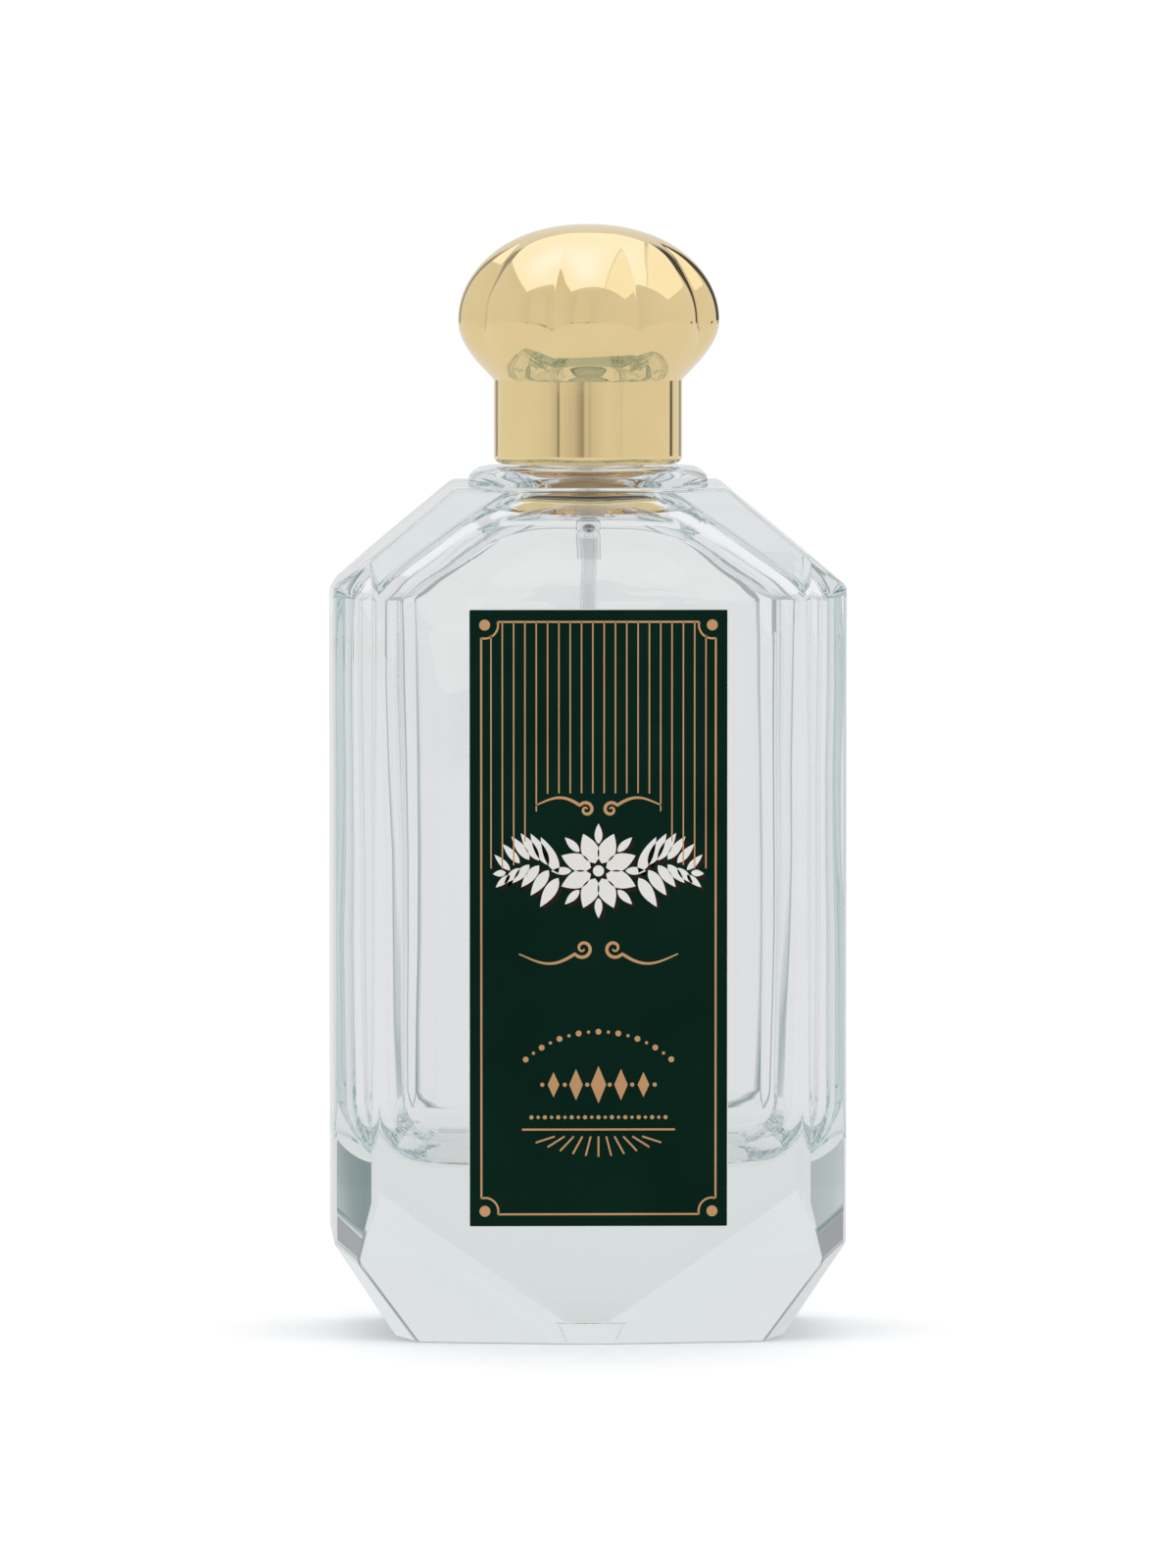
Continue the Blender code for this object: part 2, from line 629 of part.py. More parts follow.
def build_nozzle(material, parent):
    """Insert with a conical spray dimple."""
    bm = bmesh.new()
    face, back = NOZZLE_FACE, NOZZLE_BACK
    edge, dimple_radius, orifice, dimple = 0.15, 0.7, 0.25, 0.45
    profile = [(0.0, back), (NOZZLE_RADIUS, back), (NOZZLE_RADIUS, face - edge),
               (NOZZLE_RADIUS - edge, face), (dimple_radius, face), (orifice, face - dimple),
               (0.0, face - dimple)]
    verts = [bm.verts.new((radius, -distance, NOZZLE_Z)) for radius, distance in profile]
    edges = [bm.edges.new(pair) for pair in zip(verts, verts[1:])]
    bmesh.ops.spin(bm, geom=verts + edges, cent=(0, 0, NOZZLE_Z), axis=(0, -1, 0),
                   angle=FULL_TURN, steps=PLUG_SIDES, use_merge=True)
    bmesh.ops.remove_doubles(bm, verts=bm.verts, dist=1e-4)
    make_object("nozzle_insert", bm, material, NOZZLE_Z, parent)


# ---------------------------------------------------------------- overcap

def dome_profile():
    """Outer (radius, z) of the overcap from the apex down to the bottom rim."""
    crown_steps, under_steps = 9, 5
    profile = []
    for step in range(1, crown_steps + 1):
        angle = math.radians(90.0 * step / crown_steps)
        profile.append((DOME_RADIUS * math.sin(angle) ** CROWN_FULLNESS,
                        WIDEST_Z + (APEX_Z - WIDEST_Z) * math.cos(angle)))
    drop = WIDEST_Z - CREASE_Z
    pull = DOME_RADIUS - SKIRT_RADIUS - 0.15
    for step in range(1, under_steps + 1):
        part = step / under_steps
        profile.append((DOME_RADIUS - pull * (1.0 - math.cos(part * math.pi / 2.0)),
                        WIDEST_Z - drop * part))
    profile.append((SKIRT_RADIUS, CREASE_Z - 0.25))
    profile += arc((SKIRT_RADIUS - CAP_RIM, CAP_BOTTOM_Z + CAP_RIM), CAP_RIM, 0.0, -90.0, 2)
    return profile


def groove_strength(z):
    """Grooves are deepest around the widest level and fade to the crown and the crease."""
    crown = smoothstep((APEX_Z - 0.4 - z) / 6.5)
    under = smoothstep((z - CREASE_Z - 2.0) / 5.5)
    return crown * under


def lobed_ring(bm, radius, z):
    count = LOBES * FACETS_PER_LOBE
    ring = []
    for index in range(count):
        turn = FULL_TURN * index / count
        crest = math.sqrt(math.sin(turn * LOBES / 2.0) ** 2 + GROOVE_SHARPNESS)
        local = radius - LOBE_DEPTH * groove_strength(z) * (1.0 - min(crest, 1.0))
        angle = turn + math.radians(LOBE_TURN_DEG - 90.0)
        ring.append(bm.verts.new((local * math.cos(angle), local * math.sin(angle), z)))
    return ring


def build_overcap(material, parent):
    """Shell with nine lobes outside and a stepped blind bore inside."""
    bore = [(LINER_BORE, CAP_BOTTOM_Z), (LINER_BORE, LINER_SEAT_Z), (CAP_BORE, LINER_SEAT_Z),
            (CAP_BORE, CAP_BORE_TOP_Z - 1.0), (CAP_BORE - 1.0, CAP_BORE_TOP_Z)]
    bm = bmesh.new()
    rings = [lobed_ring(bm, radius, z) for radius, z in dome_profile() + bore]
    skin_rings(bm, rings, cap_ends=False)
    apex = bm.verts.new((0.0, 0.0, APEX_Z))
    first = rings[0]
    for index, vert in enumerate(first):
        bm.faces.new((apex, vert, first[(index + 1) % len(first)]))
    bm.faces.new(rings[-1])
    make_object("overcap_shell", bm, material, CAP_BOTTOM_Z, parent)


def build_liner(material, parent):
    """Plastic insert whose ribs grip the collar."""
    low, high = LINER_Z
    pitch_deg = 360.0 / LINER_RIBS
    segments = LINER_RIBS * 8
    bm = bmesh.new()
    rings = []
    levels = ((True, low), (True, high), (False, high), (False, low + LINER_LEAD_IN), (False, low))
    for outer, z in levels:
        ring = []
        for index in range(segments):
            turn = FULL_TURN * index / segments
            from_rib = abs((math.degrees(turn) + pitch_deg / 2.0) % pitch_deg - pitch_deg / 2.0)
            on_rib = from_rib < LINER_RIB_HALF_DEG and z > low
            inner = LINER_RIB_INNER if on_rib else LINER_INNER
            radius = LINER_RADIUS if outer else inner
            ring.append(bm.verts.new((radius * math.cos(turn), radius * math.sin(turn), z)))
        rings.append(ring)
    skin_rings(bm, rings + rings[:1], cap_ends=False)
    make_object("overcap_liner", bm, material, low, parent)


# ---------------------------------------------------------------- assembly

def main():
    clear_scene()
    glass = make_material("clear_glass", (0.95, 0.975, 0.97), 0.02, transmission=1.0)
    paper = make_material("label_green", (0.006, 0.022, 0.014), 0.45)
    gold = make_material("polished_gold", (0.78, 0.60, 0.32), 0.08, metallic=1.0)
    anodised = make_material("gold_aluminium", (0.76, 0.60, 0.34), 0.2, metallic=1.0)
    steel = make_material("spring_steel", (0.62, 0.62, 0.61), 0.2, metallic=1.0)
    rubber = make_material("grey_rubber", (0.08, 0.08, 0.085), 0.6)
    clear_plastic = make_material("natural_plastic", (0.86, 0.87, 0.86), 0.25, transmission=0.6)
    white_plastic = make_material("white_plastic", (0.82, 0.82, 0.80), 0.35)

    overcap_axis = make_axis("overcap_axis", CAP_BOTTOM_Z)
    stem_axis = make_axis("stem_axis", ROD_HEAD_Z[0])
    button_axis = make_axis("button_axis", STEM_TOP_Z, stem_axis)

    build_glass(glass)
    build_label(paper)
    gasket_top = build_gasket(white_plastic)
    flange_top = build_housing(clear_plastic, gasket_top + GAP)
    build_ferrule(anodised, flange_top + GAP)
    build_collar(gold, flange_top + 2.0 * GAP + FERRULE_WALL)
    pocket, pocket_top = build_turret(white_plastic, flange_top)
    build_stem_seal(rubber, pocket, pocket_top)
    build_dip_tube(clear_plastic)
    build_ball(steel, None)

    build_stem(white_plastic, stem_axis)
    build_rod(white_plastic, stem_axis)
    build_piston(clear_plastic, stem_axis)
    build_spring("return_spring", steel, None, RETURN_SPRING_Z, RETURN_WIRE, RETURN_TURNS)
    build_spring("priming_spring", steel, stem_axis, PRIMING_SPRING_Z, PRIMING_WIRE, PRIMING_TURNS)

    build_button(white_plastic, button_axis)
    build_sleeve(gold, button_axis)
    build_nozzle(white_plastic, button_axis)

    build_overcap(gold, overcap_axis)
    build_liner(white_plastic, overcap_axis)


main()
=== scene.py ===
"""Looks of a faceted glass spray bottle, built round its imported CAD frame.

The row frame is in metres with the neck axis on Z and the label towards -Y. The shapes below
are written in millimetres and turned into metres when a piece is made.
"""
import json
import math

import bmesh
import bpy
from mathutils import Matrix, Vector


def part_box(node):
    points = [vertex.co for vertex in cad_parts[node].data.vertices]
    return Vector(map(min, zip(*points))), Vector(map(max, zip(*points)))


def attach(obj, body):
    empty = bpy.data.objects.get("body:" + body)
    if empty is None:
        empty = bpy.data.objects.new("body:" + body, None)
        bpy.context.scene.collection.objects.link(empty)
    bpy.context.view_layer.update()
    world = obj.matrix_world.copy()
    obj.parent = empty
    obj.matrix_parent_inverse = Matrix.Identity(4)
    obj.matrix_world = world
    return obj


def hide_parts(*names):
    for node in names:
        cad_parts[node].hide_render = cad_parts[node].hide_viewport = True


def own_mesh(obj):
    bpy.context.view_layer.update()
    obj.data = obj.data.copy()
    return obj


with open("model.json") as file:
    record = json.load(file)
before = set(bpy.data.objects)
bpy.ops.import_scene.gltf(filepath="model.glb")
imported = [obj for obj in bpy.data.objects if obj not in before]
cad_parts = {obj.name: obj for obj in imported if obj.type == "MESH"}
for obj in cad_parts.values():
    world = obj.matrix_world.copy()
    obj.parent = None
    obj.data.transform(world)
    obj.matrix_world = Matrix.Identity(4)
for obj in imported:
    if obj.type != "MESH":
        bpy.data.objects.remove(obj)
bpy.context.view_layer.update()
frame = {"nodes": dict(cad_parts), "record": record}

MM = 0.001
FULL_TURN = 2.0 * math.pi


def span(node, axis):
    """(lowest, highest) of a CAD node along axis 0, 1 or 2, in millimetres."""
    low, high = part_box(node)
    return low[axis] / MM, high[axis] / MM


# ---------------------------------------------------------------- sizes, in millimetres

# Read from the frame
BODY_HALF_WIDTH = span("glass_bottle", 0)[1]
BODY_HALF_DEPTH = span("glass_bottle", 1)[1]
MOUTH_Z = span("glass_bottle", 2)[1]
LABEL_X = span("front_label", 0)
LABEL_Z = span("front_label", 2)
LABEL_BACK_Y = span("front_label", 1)[1]
LABEL_FRONT_Y = span("front_label", 1)[0]
CAP_Z = span("overcap_shell", 2)
DOME_RADIUS = span("overcap_shell", 0)[1]
COLLAR_RADIUS = span("neck_collar", 0)[1]
COLLAR_Z = span("neck_collar", 2)
FERRULE_RADIUS = span("crimp_ferrule", 0)[1]
FERRULE_Z = span("crimp_ferrule", 2)
SLEEVE_RADIUS = span("button_sleeve", 0)[1]
SLEEVE_Z = span("button_sleeve", 2)
BUTTON_RADIUS = span("spray_button", 0)[1]
BUTTON_Z = span("spray_button", 2)
STEM_Z = span("pump_stem", 2)
HOUSING_Z = span("pump_housing", 2)
FLANGE_RADIUS = span("pump_housing", 0)[1]
TUBE_Z = span("dip_tube", 2)
LINER_Z = span("overcap_liner", 2)
LINER_RADIUS = span("overcap_liner", 0)[1]
NOZZLE_Z = sum(span("nozzle_insert", 2)) / 2.0

STEM_RADIUS = 1.6               # as in the CAD, above the stem's flange

# Glass body, as in the CAD
SIDE_DRAFT_DEG = 2.4
FRONT_HALF_WIDTH = 26.5
PLATEAU_Z = 104.8
SHOULDER_Z = 92.1
SHOULDER_TOP_HALF = 16.7
LOWER_CUT_Z = 12.6
BASE_HALF_WIDTH = 23.9
VEE_TIP_HALF = 1.6
VEE_ARM = (13.4, 8.2)
BASE_CORNER = (22.2, 15.0)
CORNER_FACET_NORMAL = (0.756, 0.296, -0.584)
CORNER_FACET_INSET = 0.4
EDGE_RADIUS = 0.8
VEE_RADIUS = 2.2
BASE_RADIUS = 0.25
BEVEL_MIN_ANGLE_DEG = 9.0        # flatter edges stay as they are
RING_RADIUS = 14.85
RING_FLAT_RADIUS = 12.4
RING_TOP_Z = 107.0
RING_EDGE_RISE = 0.3
NECK_RADIUS = 6.5
LIP_RADIUS = 7.5
LIP_UNDER_Z = 112.0
NECK_BORE_RADIUS = 4.75
WALL = 4.8
FLOOR_Z = 20.8
FLOOR_ROUND = 8.0
CAVITY_SHOULDER_Z = 90.8
CAVITY_BOXINESS = 5.0
# (height above the cavity shoulder, inset of the sides, inset of front and back, boxiness)
CAVITY_SHOULDER = (
    (0.0, 0.0, 0.0, 5.0), (2.0, 1.2, 0.05, 4.8), (6.0, 6.1, 0.3, 4.6),
    (10.0, 11.6, 1.1, 4.2), (12.8, 16.2, 3.3, 3.2), (14.6, 20.2, 6.9, 2.2),
)
NECK_BLEND_Z = (107.2, 108.8)

# Springs, as in the CAD
RETURN_WIRE, RETURN_TURNS = 0.45, 5.5
PRIMING_WIRE, PRIMING_TURNS = 0.35, 2.5

# Overcap, as in the CAD
CREASE_Z = 117.8
WIDEST_Z = 125.0
SKIRT_RADIUS = 11.65
LOBES = 9
LOBE_DEPTH = 1.15
LOBE_CREST = 0.8                # below 1 the grooves are pinched
LOBE_TURN_DEG = 22.5
GROOVE_SHARPNESS = 0.003
CROWN_FULLNESS = 0.94
CAP_RIM = 0.9
CAP_MOUTH_RADIUS = 10.65
CAP_SEAT_Z = 119.2
CAP_BORE_RADIUS = 9.3
CAP_BORE_TOP_Z = 133.0

SHARP_DEG = 35.0                # edges steeper than this stay sharp
LIGHT_BOUNCES = 28              # enough for light to cross the glass, the pump and the label

# Facet counts of the fine surfaces
ROUND = 128
CAVITY_POINTS = 360
LOBE_POINTS = 40


# ---------------------------------------------------------------- mesh helpers

def smoothstep(value):
    value = min(max(value, 0.0), 1.0)
    return value * value * (3.0 - 2.0 * value)


def finish_mesh(bm, name, materials, sharp_deg=SHARP_DEG):
    """Bmesh in millimetres to a smooth-shaded object in metres."""
    bmesh.ops.recalc_face_normals(bm, faces=bm.faces)
    bmesh.ops.scale(bm, verts=bm.verts, vec=(MM, MM, MM))
    mesh = bpy.data.meshes.new(name)
    bm.to_mesh(mesh)
    bm.free()
    mesh.shade_smooth()
    mesh.set_sharp_from_angle(angle=math.radians(sharp_deg))
    for material in materials:
        mesh.materials.append(material)
    item = bpy.data.objects.new(name, mesh)
    bpy.context.scene.collection.objects.link(item)
    return item


def add_piece(item, body, slot, *nodes):
    """The piece rides on a body and stands for CAD nodes, which are hidden; the slot argument is not
    used.
    """
    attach(item, body)
    if nodes:
        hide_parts(*nodes)
    return item


def shape_piece(bm, name, material, body, slot, *nodes, **options):
    """Bmesh in millimetres to a finished piece in one material."""
    return add_piece(finish_mesh(bm, name, [MATERIALS[material]], **options), body, slot, *nodes)


def filleted(outline, closed):
    """(r, z, fillet radius) corners to (r, z) points, with an arc in each rounded corner."""
    points = []
    count, steps = len(outline), 4
    for index, (r, z, fillet) in enumerate(outline):
        end = not closed and index in (0, count - 1)
        if fillet <= 0.0 or end:
            points.append((r, z))
            continue
        here = Vector((r, z))
        before = Vector(outline[index - 1][:2]) - here
        after = Vector(outline[(index + 1) % count][:2]) - here
        half = before.angle(after) / 2.0
        reach = min(fillet / math.tan(half), before.length * 0.49, after.length * 0.49)
        radius = reach * math.tan(half)
        middle = (before.normalized() + after.normalized()).normalized()
        centre = here + middle * radius / math.sin(half)
        start = here + before.normalized() * reach - centre
        turn = start.angle_signed(here + after.normalized() * reach - centre)
        for step in range(steps + 1):
            angle = -turn * step / steps
            cosine, sine = math.cos(angle), math.sin(angle)
            points.append((centre.x + start.x * cosine - start.y * sine,
                           centre.y + start.x * sine + start.y * cosine))
    return points


def spin_profile(points, closed, segments=ROUND, centre=(0.0, 0.0, 0.0), axis=(0.0, 0.0, 1.0)):
    """Spin (r, z) points about Z, or (r, distance) points about another axis through centre."""
    bm = bmesh.new()
    along = Vector(axis)
    across = Vector((1.0, 0.0, 0.0))
    verts = [bm.verts.new(Vector(centre) + across * r + along * z) for r, z in points]
    pairs = list(zip(verts, verts[1:]))
    if closed:
        pairs.append((verts[-1], verts[0]))
    edges = [bm.edges.new(pair) for pair in pairs]
    bmesh.ops.spin(bm, geom=verts + edges, cent=centre, axis=axis, angle=FULL_TURN,
                   steps=segments, use_merge=True)
    bmesh.ops.remove_doubles(bm, verts=bm.verts, dist=1e-4)
    return bm


def ring_at(bm, count, place):
    """Ring of vertices; place turns the cosine and sine of an angle into a position."""
    angles = [FULL_TURN * index / count for index in range(count)]
    return [bm.verts.new(place(math.cos(angle), math.sin(angle))) for angle in angles]


def skin_rings(bm, rings, cap_ends):
    """Walls between neighbouring rings, and a face over both ends if asked for."""
    count = len(rings[0])
    for lower, upper in zip(rings, rings[1:]):
        for index in range(count):
            following = (index + 1) % count
            bm.faces.new((lower[index], lower[following], upper[following], upper[index]))
    if cap_ends:
        bm.faces.new(reversed(rings[0]))
        bm.faces.new(rings[-1])


def boolean(target, cutter, operation):
    modifier = target.modifiers.new(operation.lower(), "BOOLEAN")
    modifier.object = cutter
    modifier.operation = operation
    modifier.solver = "EXACT"


def apply_modifiers(item, guides=()):
    """Bake the modifiers into the mesh and remove the guides that they used."""
    graph = bpy.context.evaluated_depsgraph_get()
    baked = bpy.data.meshes.new_from_object(item.evaluated_get(graph))
    item.modifiers.clear()
    item.data = baked
    for guide in guides:
        bpy.data.objects.remove(guide, do_unlink=True)


# ---------------------------------------------------------------- material helpers

def new_material(name):
    material = bpy.data.materials.new(name)
    material.use_nodes = True
    tree = material.node_tree
    return material, tree, tree.nodes["Principled BSDF"]


def axes_of(tree, output="Object"):
    """X, Y and Z of a texture coordinate."""
    place = tree.nodes.new("ShaderNodeTexCoord")
    axes = tree.nodes.new("ShaderNodeSeparateXYZ")
    tree.links.new(place.outputs[output], axes.inputs[0])
    return axes.outputs


def noise(tree, scale, detail=2.0, stretch=(1.0, 1.0, 1.0)):
    """Noise over object coordinates; scale is in cells per metre."""
    nodes, links = tree.nodes, tree.links
    place = nodes.new("ShaderNodeTexCoord")
    mapping = nodes.new("ShaderNodeMapping")
    mapping.inputs["Scale"].default_value = stretch
    texture = nodes.new("ShaderNodeTexNoise")
    texture.inputs["Scale"].default_value = scale
    texture.inputs["Detail"].default_value = detail
    links.new(place.outputs["Object"], mapping.inputs["Vector"])
    links.new(mapping.outputs["Vector"], texture.inputs["Vector"])
    return texture.outputs["Fac"]


def to_range(tree, value, low, high, source=(0.3, 0.7), interpolation="LINEAR"):
    """The value's source range spread from low to high, and clamped."""
    node = tree.nodes.new("ShaderNodeMapRange")
    node.interpolation_type = interpolation
    for name, limit in zip(("From Min", "From Max", "To Min", "To Max"), (*source, low, high)):
        node.inputs[name].default_value = limit
    tree.links.new(value, node.inputs["Value"])
    return node.outputs["Result"]


def colour_ramp(tree, value, stops):
    """Colour along (position, (red, green, blue)) stops."""
    node = tree.nodes.new("ShaderNodeValToRGB")
    elements = node.color_ramp.elements
    for element, (position, colour) in zip(elements, (stops[0], stops[-1])):
        element.position = position
        element.color = (*colour, 1.0)
    for position, colour in stops[1:-1]:
        elements.new(position).color = (*colour, 1.0)
    tree.links.new(value, node.inputs["Fac"])
    return node.outputs["Color"]


def two_tone(tree, value, dark, light):
    return colour_ramp(tree, value, ((0.3, dark), (0.7, light)))


def bump(tree, value, distance, previous=None):
    node = tree.nodes.new("ShaderNodeBump")
    node.inputs["Strength"].default_value = 1.0
    node.inputs["Distance"].default_value = distance
    tree.links.new(value, node.inputs["Height"])
    if previous is not None:
        tree.links.new(previous, node.inputs["Normal"])
    return node.outputs["Normal"]


def maths(tree, operation, *values):
    node = tree.nodes.new("ShaderNodeMath")
    node.operation = operation
    for socket, value in zip(node.inputs, values):
        if isinstance(value, (int, float)):
            socket.default_value = value
        else:
            tree.links.new(value, socket)
    return node.outputs[0]


def mixed(tree, factor, first, second):
    node = tree.nodes.new("ShaderNodeMix")
    node.data_type = "RGBA"
    tree.links.new(factor, node.inputs["Factor"])
    for name, value in (("A", first), ("B", second)):
        if isinstance(value, tuple):
            node.inputs[name].default_value = value
        else:
            tree.links.new(value, node.inputs[name])
    return node.outputs["Result"]


def seen_directly(tree, elsewhere, direct, output):
    """Camera rays take the direct shader and all other rays the other one."""
    rays = tree.nodes.new("ShaderNodeLightPath")
    choose = tree.nodes.new("ShaderNodeMixShader")
    sources = (rays.outputs["Is Camera Ray"], elsewhere.outputs[0], direct.outputs[0])
    for source, socket in zip(sources, choose.inputs):
        tree.links.new(source, socket)
    tree.links.new(choose.outputs[0], tree.nodes[output].inputs["Surface"])


def inside(tree, value, limits, softness):
    """1 between the limits and 0 outside them, with soft edges."""
    ends = []
    for limit, sign in zip(limits, (1.0, -1.0)):
        edge = (limit - sign * softness, limit + sign * softness)
        ends.append(to_range(tree, value, 0.0, 1.0, edge, "SMOOTHSTEP"))
    return maths(tree, "MULTIPLY", *ends)


def surface(name, dark, light, rough, metallic=0.0, grain=400.0, grain_depth=0.0, wave=0.0,
            stretch=(1.0, 1.0, 1.0), **sockets):
    """Material with a mottled colour, an uneven roughness, a slow waviness and a fine grain."""
    material, tree, shader = new_material(name)
    tree.links.new(two_tone(tree, noise(tree, 90.0, 3.0), dark, light), shader.inputs["Base Color"])
    rough_value = to_range(tree, noise(tree, 260.0, 4.0, stretch), *rough)
    tree.links.new(rough_value, shader.inputs["Roughness"])
    normal = None
    if wave > 0.0:
        normal = bump(tree, noise(tree, 70.0, 1.0), wave)
    if grain_depth > 0.0:
        normal = bump(tree, noise(tree, grain, 5.0, stretch), grain_depth, normal)
    if normal is not None:
        tree.links.new(normal, shader.inputs["Normal"])
    shader.inputs["Metallic"].default_value = metallic
    for socket, value in sockets.items():
        shader.inputs[socket.replace("_", " ")].default_value = value
    return material


SHOULDER_RIPPLE_Z = (0.086, 0.096)     # metres; the ripple grows from the first to the second
PAINTED_GLOW_FROM_Z = 0.1043                     # metres; the gold parts enclose the pump from here up, and the painted warm glow starts here


def glass_material():
    """Flint glass, faintly blue-green through its thickness, wavy and most so at the shoulder."""
    material, tree, shader = new_material("flint_glass")
    tint = two_tone(tree, noise(tree, 30.0), (0.98, 0.983, 0.985), (0.99, 0.992, 0.995))
    tree.links.new(tint, shader.inputs["Base Color"])
    tree.links.new(to_range(tree, noise(tree, 50.0), 0.0, 0.012), shader.inputs["Roughness"])
    slow = bump(tree, noise(tree, 55.0, 1.0, (1.0, 1.0, 0.45)), 0.00012)
    shoulder = to_range(tree, axes_of(tree)["Z"], 0.0, 1.0, SHOULDER_RIPPLE_Z)
    ripple = maths(tree, "MULTIPLY", noise(tree, 110.0, 1.0), shoulder)
    tree.links.new(bump(tree, ripple, 0.00022, slow), shader.inputs["Normal"])
    shader.inputs["IOR"].default_value = 1.52
    shader.inputs["Transmission Weight"].default_value = 1.0
    absorb = tree.nodes.new("ShaderNodeVolumeAbsorption")
    absorb.inputs["Color"].default_value = (0.58, 0.715, 0.735, 1.0)
    absorb.inputs["Density"].default_value = 9.0
    tree.links.new(absorb.outputs["Volume"], tree.nodes["Material Output"].inputs["Volume"])
    return material


def translucent_plastic(name, rough, clearness):
    """Natural polypropylene or polyethylene: softly clear or milky."""
    return surface(name, (0.95, 0.96, 0.96), (0.98, 0.99, 0.99), rough,
                   grain=900.0, grain_depth=0.00001, Transmission_Weight=clearness, IOR=1.1)


def painted_gold_glow(material, glow):
    """Painted warm glow: an emission that stands in for the light the gold parts throw back on what they
    enclose in the neck.
    """
    tree = material.node_tree
    # mask of the painted warm glow, from the height where the gold parts enclose the pump
    painted_glow_mask = inside(tree, axes_of(tree)["Z"], (PAINTED_GLOW_FROM_Z, 2.0 * PAINTED_GLOW_FROM_Z), 0.0004)
    tone = mixed(tree, painted_glow_mask, (0.0, 0.0, 0.0, 1.0), (*glow, 1.0))
    shader = tree.nodes["Principled BSDF"]
    tree.links.new(tone, shader.inputs["Emission Color"])
    shader.inputs["Emission Strength"].default_value = 1.0
    return material


MATERIALS = {
    "clear_glass": glass_material(),
    "polished_gold": surface("polished_gold", (0.90, 0.70, 0.36), (0.93, 0.735, 0.39), (0.015, 0.05),
                             metallic=1.0, wave=0.00003, grain=2500.0, grain_depth=0.0000004),
    "label_green": surface("label_green", (0.0040, 0.0205, 0.0130), (0.0052, 0.0250, 0.0165),
                           (0.45, 0.6), grain=3000.0, grain_depth=0.000006, Specular_IOR_Level=0.0),
    "label_core": surface("label_core", (0.93, 0.94, 0.93), (0.98, 0.98, 0.97), (0.6, 0.75),
                          grain=3000.0, grain_depth=0.00001, Specular_IOR_Level=0.2),
    "tan_print": surface("tan_print", (0.59, 0.33, 0.155), (0.68, 0.39, 0.19), (0.4, 0.55),
                         grain=4000.0, grain_depth=0.000004, Specular_IOR_Level=0.1),
    "cream_print": surface("cream_print", (0.95, 0.93, 0.87), (0.98, 0.97, 0.93), (0.4, 0.55),
                           grain=4000.0, grain_depth=0.000004, Specular_IOR_Level=0.15),
    "umber_print": surface("umber_print", (0.016, 0.008, 0.005), (0.024, 0.013, 0.008), (0.45, 0.6),
                           grain=4000.0, grain_depth=0.000004, Specular_IOR_Level=0.1),
    "gold_aluminium": surface("gold_aluminium", (0.82, 0.62, 0.32), (0.89, 0.69, 0.37), (0.1, 0.22),
                              metallic=1.0, grain=700.0, grain_depth=0.000004, stretch=(1.0, 1.0, 12.0)),
    "steel": surface("steel", (0.52, 0.52, 0.52), (0.66, 0.66, 0.65), (0.1, 0.24), metallic=1.0,
                     grain=1800.0, grain_depth=0.000002, stretch=(1.0, 1.0, 6.0)),
    "rubber": surface("rubber", (0.018, 0.018, 0.02), (0.03, 0.03, 0.032), (0.55, 0.75),
                      grain=1500.0, grain_depth=0.00003),
    "natural_plastic": translucent_plastic("natural_plastic", (0.02, 0.06), 0.92),
    # painted warm glow: emission on the pump body where the gold parts enclose it
    "milky_plastic_painted_glow": painted_gold_glow(translucent_plastic("milky_plastic_painted_glow", (0.06, 0.14), 0.95),
                                 (0.05, 0.03, 0.004)),
    "white_plastic": surface("white_plastic", (0.78, 0.78, 0.75), (0.84, 0.84, 0.82), (0.26, 0.38),
                             grain=1200.0, grain_depth=0.00001, wave=0.00002),
    # painted warm glow: emission on the neck gasket where the gold parts enclose it
    "gasket_plastic_painted_glow": painted_gold_glow(surface("gasket_plastic_painted_glow", (0.74, 0.70, 0.62), (0.80, 0.76, 0.68),
                                          (0.3, 0.4), grain=1200.0, grain_depth=0.00001),
                                  (0.17, 0.10, 0.035)),
}


# ---------------------------------------------------------------- glass bottle

def cut_plane(bm, point, normal):
    geometry = bm.verts[:] + bm.edges[:] + bm.faces[:]
    bmesh.ops.bisect_plane(bm, geom=geometry, plane_co=point, plane_no=normal,
                           dist=1e-4, clear_outer=True)
    rim = [edge for edge in bm.edges if edge.is_boundary]
    if rim:
        bmesh.ops.edgeloop_fill(bm, edges=rim)


